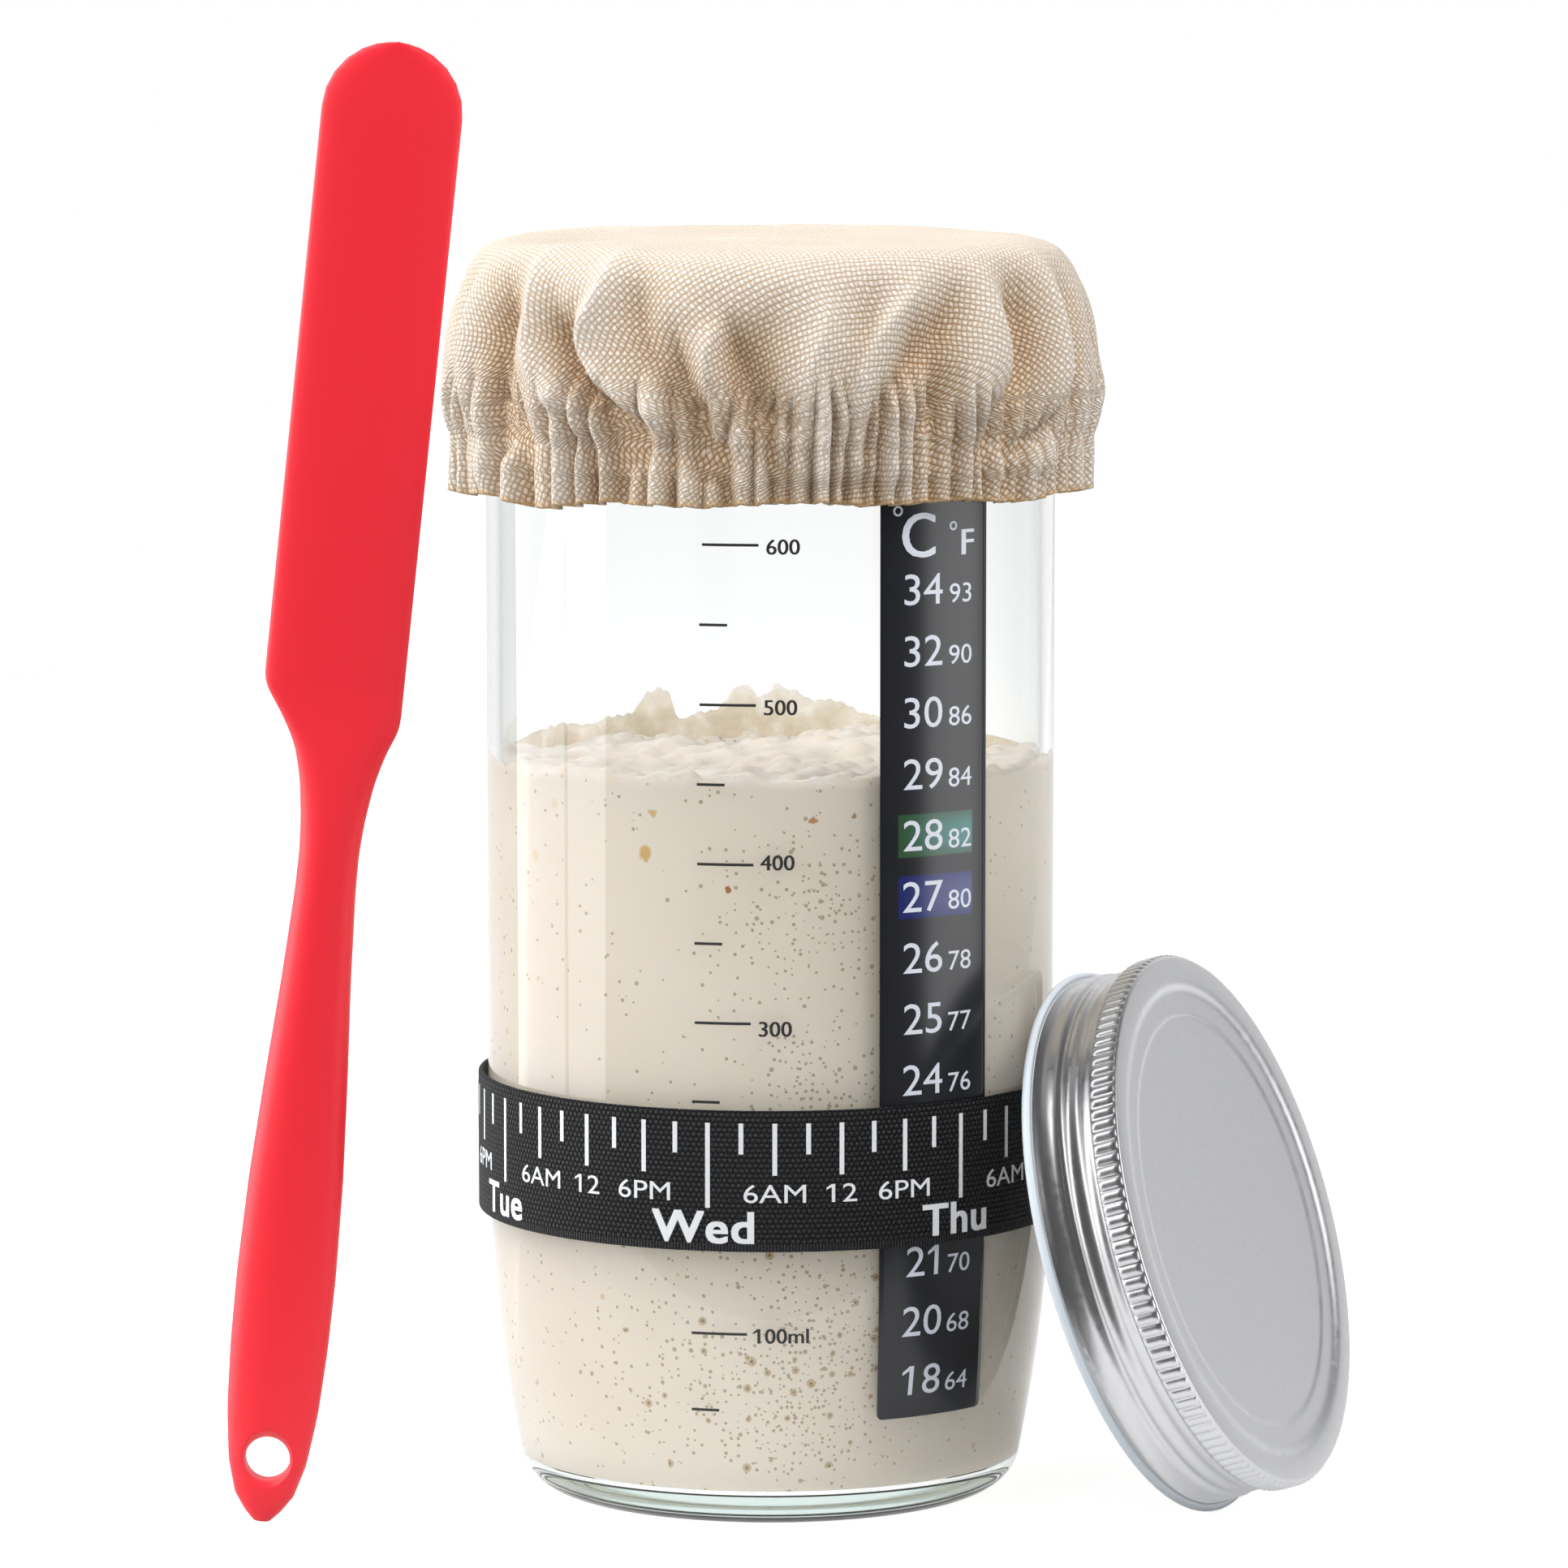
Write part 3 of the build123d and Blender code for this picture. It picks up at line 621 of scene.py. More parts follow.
starter = {
    "level": 105.0, "intoGlass": 0.05, "columns": 360, "sideRows": 120, "sideRun": 139.0, "topRows": 56,
    "lumpDepth": 1.6, "foamDepth": 0.55, "backDrop": 4.2, "airTop": 5.4,
    # top edge of the dried film: bearing from the front and height
    "smear": [(-180, 109.8), (-177, 108.9), (-174.7, 110.3), (-172, 109.0), (-170.3, 108.2), (-166.6, 106.9),
              (-161, 105.5), (-158.6, 105.6), (-157, 109.6), (-154.5, 110.1), (-151.6, 109.3),
              (-148.5, 107.8), (-144, 106.4), (-136, 105.7), (-125, 106.2), (-119, 106.1), (-110, 105.4),
              (-90, 104.8), (-60, 103.6), (0, 103.4), (60, 103.8), (100, 104.6), (140, 105.0),
              (155.6, 105.9), (163, 107.3), (166.6, 108.0), (171, 108.5), (174, 109.0), (177, 109.6),
              (179, 110.4)],
    "smearThick": 0.35, "smearBelow": 6,
    "smearColours": [(1.0, 0.91, 0.75, 1), (0.97, 0.84, 0.62, 1)],
    # bran flecks on the front: bearing, height, half width, half height and colour
    "flecks": [(-26.2, 94.4, 1.0, 1.45, (0.72, 0.47, 0.19, 1)),
               (-24.7, 100.2, 0.75, 0.65, (0.72, 0.52, 0.28, 1)), (-8.6, 90.1, 0.6, 0.6, (0.42, 0.17, 0.06, 1)),
               (8.7, 99.4, 0.65, 0.55, (0.55, 0.28, 0.12, 1)), (-56.5, 92.6, 0.7, 0.9, (0.80, 0.66, 0.42, 1)),
               (-50.0, 100.2, 0.6, 0.8, (0.82, 0.70, 0.48, 1)), (1.4, 94.6, 0.4, 0.5, (0.6, 0.42, 0.22, 1)),
               (17.2, 99.8, 0.45, 0.45, (0.5, 0.3, 0.16, 1))],
    # crowds of bubbles on the front: middle and reach of each, the lowest one last
    "crowds": [((4, -36, 84), (16, 30, 18)), ((8, -36, 66), (12, 30, 11)), ((1, -36, 25), (25, 34, 21))],
    "dough": [(0.89, 0.815, 0.715, 1), (0.85, 0.77, 0.66, 1)],
    # the foamy skin on top: real foam colour, painted paler as well to stand in for light
    "skin": [(0.93, 0.79, 0.66, 1), (0.98, 0.92, 0.85, 1)], "skinFrom": 103.6, "skinTo": 105.0,
    "bubble": (0.34, 0.27, 0.16, 1), "ring": (0.56, 0.40, 0.22, 1), "pit": (0.22, 0.14, 0.07, 1),
    # stray bran flecks; then the colour of the painted shade on the dough beside the strip
    "stray": (0.70, 0.48, 0.24, 1), "paintedShadeBesideStrip": (0.30, 0.24, 0.18, 1),
}


def ripples(x, y, waves, seed):
    # sum of plane waves, each (wavelength, height), in drawn directions and phases
    draw = np.random.default_rng(seed)
    total = np.zeros_like(x)
    for length, height in waves:
        for _ in range(5):
            turn, phase = draw.uniform(0, 2 * np.pi, 2)
            total += height / 2.2 * np.sin((x * np.cos(turn) + y * np.sin(turn)) * 2 * np.pi / length + phase)
    return total


def bubbleField(x, y, seed, count, reach, sizes):
    # domes of drawn size scattered over a disc; the highest dome wins
    draw = np.random.default_rng(seed)
    field = np.zeros_like(x)
    for _ in range(count):
        r, turn = reach * math.sqrt(draw.uniform(0.1, 1)), draw.uniform(0, 2 * math.pi)
        size = draw.uniform(*sizes)
        away = np.hypot(x - r * math.cos(turn), y - r * math.sin(turn)) / size
        field = np.maximum(field, size * np.sqrt(np.clip(1 - away**2, 0, 1)) * 0.75)
    return field


def makeStarter():
    # side: the glass's inside, a little into it; top: a lumpy dome over (angle, share of the radius) that
    # meets it
    columns = starter["columns"]
    turn = np.linspace(0, 2 * np.pi, columns, endpoint=False)
    inner = footLine(starter["intoGlass"] - jar["wall"], jar["innerHeel"], jar["base"])
    edge = [[jar["radius"] - jar["wall"] + starter["intoGlass"], starter["level"]]]
    outline = np.concatenate([[[0, jar["base"]]], inner[::-1], edge])
    side = evenly(outline, starter["sideRun"] / starter["sideRows"])
    wall = side[-1, 0]
    # top: level at the wall wanders, the middle is domed and lumpy, the rim froths
    rim = ripples(wall * np.cos(turn), wall * np.sin(turn), [(26, 0.5), (9, 0.35), (4, 0.2)], 3)
    rim -= starter["backDrop"] * smooth(np.sin(turn), 0, 0.9)
    share = np.linspace(1, 0, starter["topRows"])[1:] ** 0.8
    r = wall * share[:, None]
    x, y = r * np.cos(turn), r * np.sin(turn)
    lumps = ripples(x, y, [(30, 0.8), (13, 0.5), (6, 0.25)], 8)
    foam = bubbleField(x, y, 5, 420, wall - 0.6, (0.5, 2.1))
    sag = starter["lumpDepth"] * (1 - share[:, None] ** 6) * -0.7
    top = starter["level"] + share[:, None] ** 8 * rim + (1 - share[:, None] ** 8) * lumps + sag
    top = top + foam * starter["foamDepth"] + 1.5 * np.exp(-((1 - share[:, None]) / 0.06) ** 2) * 0.3
    centre = share[:, None] < 1e-9
    top = np.where(centre, top.mean(axis=1, keepdims=True), top)
    # a film of air under the starter, so that the thick glass foot stays bright
    air = 1 - smooth(side[:, 1], jar["base"] + 0.1, starter["airTop"])
    side = side + np.stack([-0.12 * air * (side[:, 0] > 1), 0.06 * air], 1)
    lower = np.stack([side[:, :1] * np.cos(turn), side[:, :1] * np.sin(turn), side[:, 1:] + 0 * turn], -1)
    lower[-1, :, 2] += rim
    rise = smooth(side[:, 1:], starter["level"] - 12, starter["level"])
    lower[:-1, :, 2] += (rise * rim)[:-1]
    points = np.concatenate([lower, np.stack([x, y, top], -1)])
    uv = np.stack([turn[None, :] * wall + 0 * points[..., 2], points[..., 2]], -1) * mm
    piece = gridPiece("starter", points, wrapColumns=True, uv=uv)
    put(outwards(piece), "jar", "starter", doughFinish(), "starter_dough")
    put(makeSmear(), "jar", "starter", smearFinish())


def makeSmear():
    # thin dried film above the dough on the wall, high at the back, with a ragged top edge
    knots = np.array(starter["smear"], float)
    bearing = np.linspace(-180, 180, 481)[:-1]
    top = np.interp(bearing, knots[:, 0], knots[:, 1], period=360)
    x, y = np.cos(np.radians(bearing)) * 38, np.sin(np.radians(bearing)) * 38
    top = top + ripples(x, y, [(7, 0.35), (3, 0.3), (1.6, 0.2)], 19) * smooth(top, 105, 107)
    low = starter["level"] - starter["smearBelow"]
    share = np.array([0, 0.3, 0.6, 0.85, 1.0, 1.0, 0.85, 0.6, 0.3, 0])[:, None]
    inner = np.array([0] * 5 + [1] * 5)[:, None]
    thick = starter["smearThick"] * (1 - share**3) + 0.02
    radius = jar["radius"] - jar["wall"] - 0.005 - inner * thick
    points = onJar(bearing[None, :] + 0 * share, radius + 0 * bearing, low + (top - low)[None, :] * share)
    return outwards(gridPiece("smear", points, wrapColumns=True, wrapRows=True))


def smearFinish():
    # pale film that thins out towards its top edge and in clouds
    smear = Finish("driedFilm", Roughness=0.6)
    at = smear.place()
    high = smear.add("SeparateXYZ", {0: at}).node.outputs[2]
    cloud = smear.noise(at, 240, 3, 0.6)
    colour = smear.mix(cloud, *starter["smearColours"])
    fade = smear.between(high, 0.111, 0.1050, 0.3, 1.0)
    thin = smear.math("MULTIPLY", fade, smear.between(cloud, 0.3, 0.6, 0.38, 0.85))
    smear.set(Base_Color=colour, Alpha=thin)
    return smear.material


def spots(finish, at, scale, low, high, share):
    # round dots in the cells of a Voronoi pattern: each cell draws its own size between low and high, and
    # only a share of the cells has a dot
    inputs = {"Vector": at, "Scale": scale, "Randomness": 1.0}
    cell = finish.add("TexVoronoi", inputs, voronoi_dimensions="2D")
    draw = finish.add("SeparateColor", {0: cell.node.outputs["Color"]}).node.outputs
    size = finish.between(draw[1], 0.0, 1.0, low, high)
    inside = finish.between(finish.math("DIVIDE", cell, size), 1.0, 0.75)
    return finish.math("MULTIPLY", inside, finish.math("LESS_THAN", draw[0], share))


def patch(finish, at, middle, reach):
    # 1 in the middle of an upright oval patch of the front, falling to 0 at its edge
    away = finish.add("VectorMath", {0: at, 1: tuple(v * mm for v in middle)}, operation="SUBTRACT")
    away = finish.add("VectorMath", {0: away, 1: tuple(1 / (r * mm) for r in reach)}, operation="MULTIPLY")
    away = finish.add("VectorMath", {0: away}, output=1, operation="LENGTH")
    return finish.between(away, 1.0, 0.35)


def doughFinish():
    # clouded dough with bubbles, flecks, painted shade beside the strip and a foamy skin painted paler in place
    # of light, all laid over one another from the bottom up
    dough = Finish("bubblyDough", Roughness=0.5, Subsurface_Weight=0.15, Subsurface_Scale=0.002)
    dough.shader.inputs["Subsurface Radius"].default_value = (1.0, 0.7, 0.45)
    at = dough.place()
    cloud = dough.noise(at, 38, 3)
    colour = dough.mix(dough.between(cloud, 0.35, 0.7), *starter["dough"])
    # gas bubbles against the glass: a few everywhere, crowds on the front
    upper, middle, low = (patch(dough, at, *crowd) for crowd in starter["crowds"])
    drift = dough.between(dough.noise(at, 70, 2), 0.32, 0.66)
    crowd = dough.math("MAXIMUM", dough.math("MAXIMUM", dough.math("MULTIPLY", upper, 0.8), middle), low)
    share = dough.math("ADD", dough.math("MULTIPLY", crowd, 0.95), 0.10)
    share = dough.math("MULTIPLY", share, dough.math("ADD", drift, 0.25))
    flat = dough.flat()
    tiny = spots(dough, flat, 900.0, 0.10, 0.27, dough.math("MULTIPLY", share, 0.95))
    fine = spots(dough, flat, 430.0, 0.06, 0.16, dough.math("MULTIPLY", share, 0.8))
    small = dough.math("MULTIPLY", dough.math("MAXIMUM", tiny, fine), 0.72)
    colour = dough.mix(small, colour, starter["bubble"])
    # larger bubbles low on the front: a tan ring round a darker middle
    broad = dough.math("MULTIPLY", low, dough.math("ADD", drift, 0.2))
    ring = spots(dough, flat, 330.0, 0.12, 0.24, dough.math("MULTIPLY", broad, 0.55))
    colour = dough.mix(dough.math("MULTIPLY", ring, 0.8), colour, starter["ring"])
    pit = spots(dough, flat, 330.0, 0.04, 0.09, dough.math("MULTIPLY", broad, 0.55))
    colour = dough.mix(dough.math("MULTIPLY", pit, 0.8), colour, starter["pit"])
    # bran flecks with wavering edges, and stray ones all round
    wobble = dough.noise(at, 900, 2, output=1)
    wobble = dough.add("VectorMath", {0: wobble, 1: (0.0012, 0.0012, 0.0012)}, operation="MULTIPLY")
    there = dough.add("VectorMath", {0: at, 1: wobble}, operation="ADD")
    there = dough.add("VectorMath", {0: there, 1: (0.0006, 0.0006, 0.0006)}, operation="SUBTRACT")
    for bearing, height, width, tall, tint in starter["flecks"]:
        place = onJar(np.array(float(bearing)), jar["radius"] - jar["wall"], np.array(float(height)))
        fleck = patch(dough, there, place, (width, width, tall))
        colour = dough.mix(dough.between(fleck, 0.0, 0.5), colour, tint)
    stray = spots(dough, flat, 85.0, 0.02, 0.05, 0.35)
    colour = dough.mix(dough.math("MULTIPLY", stray, 0.6), colour, starter["stray"])
    # painted shade: in front, the dough's colour is darkened beside the dark strip, in place of the light that
    # the strip takes from it
    split = dough.add("SeparateXYZ", {0: at}).node.outputs
    inFront = dough.math("LESS_THAN", split[1], 0.0)
    paintedShade = dough.math("MULTIPLY", dough.between(split[0], 0.003, 0.0145, 0.0, 0.16), inFront)
    colour = dough.mix(paintedShade, colour, starter["paintedShadeBesideStrip"])
    # the top is pinker, with a foamy skin whose colour is also painted paler, to stand in for light that the
    # top lacks under the cover
    skin = dough.between(split[2], starter["skinFrom"] * mm, starter["skinTo"] * mm)
    strands = dough.between(dough.noise(dough.stretched(at, (1, 2.2, 1)), 330, 4, 0.65), 0.35, 0.62)
    foam = dough.mix(strands, *starter["skin"])
    colour = dough.mix(dough.math("MULTIPLY", skin, 0.85), colour, foam)
    froth = dough.noise(at, 500, 4, 0.6)
    height = dough.math("ADD", dough.math("MULTIPLY", ring, -1.0), dough.math("MULTIPLY", froth, 0.6))
    dough.set(Base_Color=colour, Normal=dough.bump(height, 0.00025, 0.5))
    return dough.material


makeStarter()
report("starter")


# Cloth cover

cover = {
    "columns": 840, "hem": 142.3, "thickness": 0.8,
    # mean outside of the cloth from the flat top down to the hem, radius and height
    "line": [(0, 177.3), (20, 177.4), (33, 177.3), (37.5, 176.9), (40.2, 175.9), (42.0, 174.0), (43.3, 171.3),
             (44.5, 167.8), (45.5, 163.5), (45.9, 159.2), (45.7, 155.6), (45.0, 152.3), (44.5, 149.9),
             (44.4, 146.2), (44.4, 142.3)],
    "rowStep": 0.62, "insideStep": 2.2,
    "elastic": 150.2, "seamDrop": 0.25, "creaseSpread": 1.35, "hollowShare": 0.95,
    "overGlass": 41.3, "overElastic": 0.9,  # the cloth comes no nearer to the axis than this
    "flatRadius": 80.0,
    "across": 0.78, "along": 0.86, "turn": 20.0,  # the weave: two pitches and how far it is turned
    "thread": [(0.90, 0.855, 0.80, 1), (0.86, 0.795, 0.715, 1)],
    # colour of the gaps on a crest, and deep in a fold darker and browner as painted shade
    "gapsWithFoldShade": [(0.58, 0.465, 0.355, 1), (0.42, 0.28, 0.16, 1)],  # on a crest and deep in a fold
    # painted highlight on the crests and painted shade in the folds
    "paintedCrestHighlight": (0.93, 0.905, 0.87, 1), "paintedFoldShade": (0.80, 0.66, 0.50, 1),
    "rawEdge": (0.60, 0.38, 0.16, 1), "sewn": (0.95, 0.93, 0.90, 1),
}

# Folds seen from the front: heights and bearings of each crease, then its depth and its half width in degrees
creases = [
    ([176, 165, 156, 150, 142], [-74, -73, -71, -69, -67], 1.6, 3.0),
    ([176, 166, 157, 151, 142], [-60, -58.5, -56, -52, -50.5], 2.6, 3.6),
    ([173, 167.5, 161.4, 158, 154.3, 150, 142], [-34.5, -39.6, -36.8, -33.3, -28.6, -28, -29], 3.3, 2.6),
    ([170, 160, 156.3, 150, 144, 142], [-18, -14.7, -12.8, -11.6, -8, -7.6], 3.1, 2.4),
    ([172, 163, 156.5, 150.6, 147.9, 142], [-9, -5.1, -2.6, -0.1, 1.2, 1.8], 2.9, 2.2),
    ([175, 165.6, 159.7, 152.5, 147.8, 142], [21, 16.7, 13.3, 12.9, 13.3, 13.8], 2.2, 2.2),
    ([171, 161.5, 157.6, 152.7, 146, 142], [28, 24.3, 20.7, 18.9, 19.4, 20], 2.3, 2.2),
    ([175, 169.8, 162.3, 155.7, 152.5, 142], [37.5, 35.5, 31.4, 31, 29.5, 30.5], 2.4, 3.2),
    ([176, 172, 161.6, 153.6, 150, 142], [52, 51.6, 51, 43.8, 42.7, 43], 2.3, 2.8),
    ([160, 155, 151.6, 149.6, 144.9, 142], [66, 63, 58.5, 52, 50.9, 51], 2.8, 2.0),
    ([176, 168, 158, 150, 142], [72, 71, 70, 66, 65], 2.0, 3.0),
    ([162, 158, 154, 150, 142], [-46, -44, -40, -35, -34], 2.0, 1.8),
    ([160, 156, 151, 146, 142], [-26.5, -24, -20.5, -19, -18.5], 1.9, 1.7),
    ([161, 157, 153, 149, 142], [-68, -62, -58, -59, -60], 1.5, 1.8),
    ([159, 156, 152, 148, 142], [2, 4, 6.5, 7.4, 7.6], 1.2, 1.5),
    ([158, 155, 151, 147, 142], [40, 38, 36.5, 36.3, 36.5], 1.2, 1.6),
]


# Crests seen from the front: heights and bearings of each, then how far it stands out and its half width
crests = [
    ([176, 168, 158, 150, 145], [-70, -69, -68.5, -68, -67], 1.8, 3.6),
    ([179, 175, 170, 163, 156.5], [-50, -49.5, -48.4, -47, -42], 1.9, 2.6),
    ([179, 175, 171.5, 163.5, 158.3, 155], [-31, -31.4, -32.2, -35, -28.8, -24], 2.1, 3.0),
    ([173, 169.9, 164, 157.1, 150.9], [-7, -7.7, -10.7, -10.7, -9], 2.2, 3.6),
    ([175, 172.7, 166.9, 161.2, 154.3, 148], [29, 27.5, 20.2, 15.5, 14.6, 15], 2.1, 3.4),
    ([174, 168, 161, 153, 147], [10.5, 9.9, 7, 7.4, 8], 1.2, 2.6),
    ([172, 165, 158, 152, 147], [36, 33, 27, 24, 22.5], 1.5, 2.8),
    ([176, 172, 160, 153, 147], [44, 44.5, 46.5, 47, 47], 1.2, 3.0),
    ([177, 169, 160, 153, 147], [64, 64, 63, 61, 59], 1.8, 3.4),
]

# Broad hollows seen from the front, in the same form
hollows = [
    ([176, 174.5, 165.8, 158, 150], [-57.5, -57, -58, -58, -56], 3.0, 5.4),
    ([174, 171.5, 162.9, 155.5, 150], [-44, -43.5, -38.9, -31.5, -25], 2.8, 4.4),
    ([177.5, 168.6, 161.2, 156, 152, 148], [-26, -24, -20, -15, -11, -10], 2.6, 5.0),
    ([174, 171, 165, 160, 154], [4, 2, -1, -1, 1], 2.3, 7.0),
    ([175, 171.5, 165.8, 160, 153], [38, 36, 31.7, 29, 28], 2.2, 4.8),
    ([176, 171.5, 162.9, 157, 150], [55, 55.3, 54, 50, 47], 2.0, 5.0),
]

# Bearings of the valleys between the pleats of the hem, seen from the front
hemValleys = [-74.0, -66.6, -59.6, -50.1, -43.3, -37.9, -34.2, -28.9, -23.1, -17.9, -12.5, -8.0, -3.1, 0.1,
              3.6, 7.7, 11.1, 13.8, 17.8, 20.1, 23.4, 26.7, 31.2, 36.5, 39.8, 43.4, 49.2, 53.6, 57.6, 62.0,
              67.5]


def foldCrease(height, bearing, crease):
    # a sharp-bottomed valley that follows the crease's path and dies out at both ends
    heights, bearings, depth, width = crease
    order = np.argsort(heights)
    middle = spline(np.array(heights, float)[order], np.array(bearings, float)[order], height)
    away = np.abs((bearing - middle + 180) % 360 - 180) / width
    low, high = min(heights), max(heights)
    ends = smooth(height, low - 3, low + 1) * (1 - smooth(height, high - 9, high + 1))
    return depth * ends * np.exp(-(away**1.35))


def backCreases():
    # the sides and the back are folded in the same way, from drawn paths
    draw = np.random.default_rng(21)
    made = []
    bearing = 82.0
    while bearing < 276:
        lean = draw.uniform(-6, 6)
        high = draw.uniform(160, 177)
        heights = [high, 0.6 * high + 0.4 * 142, 154, 150, 142]
        places = [bearing, bearing + 0.4 * lean, bearing + 0.9 * lean, bearing + lean, bearing + lean]
        made.append((heights, places, draw.uniform(1.4, 3.2), draw.uniform(1.8, 3.2)))
        bearing += draw.uniform(6.5, 11)
    return made


def pleats(bearing, seed, narrow, wide, known=()):
    # a wave of unequal pleats round the cloth: a half sine between two valleys, times a drawn height of its
    # own; the valleys are at the known bearings first and then drawn
    draw = np.random.default_rng(seed)
    first = known[0] if len(known) else 0.0
    edges = list(known) or [0.0]
    while edges[-1] < first + 360 - wide:
        edges.append(edges[-1] + draw.uniform(narrow, wide))
    edges = np.append(edges, first + 360)
    heights = draw.uniform(0.45, 1.0, len(edges))
    heights[-1] = heights[0]
    at = (bearing - first) % 360 + first
    i = np.clip(np.searchsorted(edges, at) - 1, 0, len(edges) - 2)
    share = (at - edges[i]) / (edges[i + 1] - edges[i])
    return np.sin(np.pi * share) ** 0.8 * heights[i], heights[i]


def coverSurface(line, bearing):
    # the mean outside of the cloth, pushed in along its normal by creases and out by crests and pleats
    radius, height = line[:, :1] + 0 * bearing, line[:, 1:] + 0 * bearing
    slope = np.gradient(line, axis=0)
    slope /= np.linalg.norm(slope, axis=1, keepdims=True)
    normal = np.stack([-slope[:, 1], slope[:, 0]], 1)
    push = np.zeros_like(radius)
    for heights, places, depth, width in creases:
        push -= foldCrease(height, bearing, (heights, places, depth, width * cover["creaseSpread"]))
    for crease in backCreases():
        push -= foldCrease(height, bearing, crease)
    for crest in crests:
        push += foldCrease(height, bearing, crest)
    for hollow in hollows:
        push -= cover["hollowShare"] * foldCrease(height, bearing, hollow)
    skirt = 1 - smooth(height, 168, 177)
    x, y = radius * np.sin(np.radians(bearing)), radius * np.cos(np.radians(bearing))
    push += ripples(x, y, [(24, 0.5), (14, 0.3)], 31) * skirt * smooth(height, 146, 158)
    # gathers: narrow at the elastic and the hem, and every few of them run on up into the skirt
    wander = 1.2 * np.sin(np.radians(bearing * 5) + height / 9)
    wander = wander + 0.9 * np.sin(np.radians(bearing * 11) - height / 5)
    wave, tall = pleats(bearing + wander * smooth(height, 150, 160), 12, 2.8, 5.4, hemValleys)
    reach = 1 - smooth(height, 149 + 5 * tall, 153 + 11 * tall)
    push += (3.2 * wave - 1.5) * reach
    fine, _ = pleats(bearing + 0.8 * wander, 77, 3.0, 7.0)
    push += 0.45 * (fine - 0.5) * (1 - smooth(height, 152, 163))
    # the seam over the elastic draws the cloth in
    push -= cover["seamDrop"] * np.exp(-(((height - cover["elastic"]) / 1.1) ** 2))
    flat = smooth(radius, 30, 41)
    wrinkle = ripples(x, y, [(34, 0.28), (17, 0.16)], 44)
    push = push * flat + wrinkle * (1 - flat) * smooth(radius, 2, 14)
    r = radius + push * normal[:, :1]
    z = height + push * normal[:, 1:]
    # the cloth lies round the elastic and, under it, round the glass
    atElastic = smooth(height, 145.6, 147) * (1 - smooth(height, 154, 156))
    least = cover["overGlass"] + cover["overElastic"] * atElastic
    r = np.where((radius > 41.5) & (height < 157), np.maximum(r, least), r)
    # scalloped, hand-cut hem
    low = 1 - smooth(height, cover["hem"], cover["hem"] + 5)
    z = z + low * (0.9 * np.exp(-((bearing - 8) / 38) ** 2) - 0.7 * np.exp(-((bearing + 50) / 9) ** 2)
                   + 0.25 * np.sin(np.radians(bearing * 11 + 40)) + 0.7 * (wave - 0.5))
    return onJar(bearing, r, z), push


def makeCover():
    # the outside over (row down the line, bearing), and the inside at the cloth's thickness along its normals
    path = np.array(cover["line"], float)
    run = np.concatenate([[0], np.cumsum(np.linalg.norm(np.diff(path, axis=0), axis=1))])
    rows = np.concatenate([np.linspace(0, 30, 13)[:-1], np.arange(30, run[-1], cover["rowStep"]), [run[-1]]])
    line = np.stack([spline(run, path[:, 0], rows), spline(run, path[:, 1], rows)], 1)
    line[0, 0] = 0
    bearing = np.linspace(-180, 180, cover["columns"] + 1)[None, :]
    outside, push = coverSurface(line, bearing)
    outside[:, -1] = outside[:, 0]
    # inside: the same surface moved in by the cloth's thickness, on fewer rows, joined round the hem
    du = np.gradient(outside, axis=1)
    du[:, 0] = du[:, -1] = (outside[:, 1] - outside[:, -2]) / 2
    dv = np.gradient(outside, axis=0)
    normal = np.cross(du, dv)
    normal /= np.maximum(np.linalg.norm(normal, axis=2, keepdims=True), 1e-9)
    normal[0] = (0, 0, 1)
    if (normal[len(rows) // 2, :, :2] * outside[len(rows) // 2, :, :2]).sum() < 0:
        normal = -normal
    normal[0] = (0, 0, 1)
    every = max(1, int(round(cover["insideStep"] / cover["rowStep"])))
    back = list(range(len(rows) - 1, 11, -every)) + list(range(8, -1, -3)) + [0]
    back = sorted(set(back), reverse=True)
    inside = outside[back] - normal[back] * cover["thickness"]
    points = np.concatenate([outside, inside])
    # the flat cut: distance from the middle of the cloth, and the angle by the length round each ring
    ring = np.linalg.norm(np.diff(outside, axis=1), axis=2)
    around = np.concatenate([np.zeros((len(rows), 1)), np.cumsum(ring, axis=1)], axis=1)
    around = around / np.maximum(around[:, -1:], 1e-9) * 2 * np.pi
    around[0] = np.linspace(0, 2 * np.pi, cover["columns"] + 1)
    far = rows * cover["flatRadius"] / rows[-1]
    flatMap = np.stack([far[:, None] * np.sin(around), far[:, None] * np.cos(around)], -1)
    uv = np.concatenate([flatMap, flatMap[back]]) * mm
    shade = np.concatenate([push, push[back]])
    hem = np.concatenate([rows[-1] - rows, rows[-1] - rows[back]])[:, None] + 0 * shade
    values = {"fold": shade[:, :-1], "hem": hem[:, :-1]}
    piece = gridPiece("clothCover", points[:, :-1], wrapColumns=True, uv=uv, values=values)
    put(outwards(piece), "cover", "canvas", canvasCloth(), "cover_cloth")
    return piece


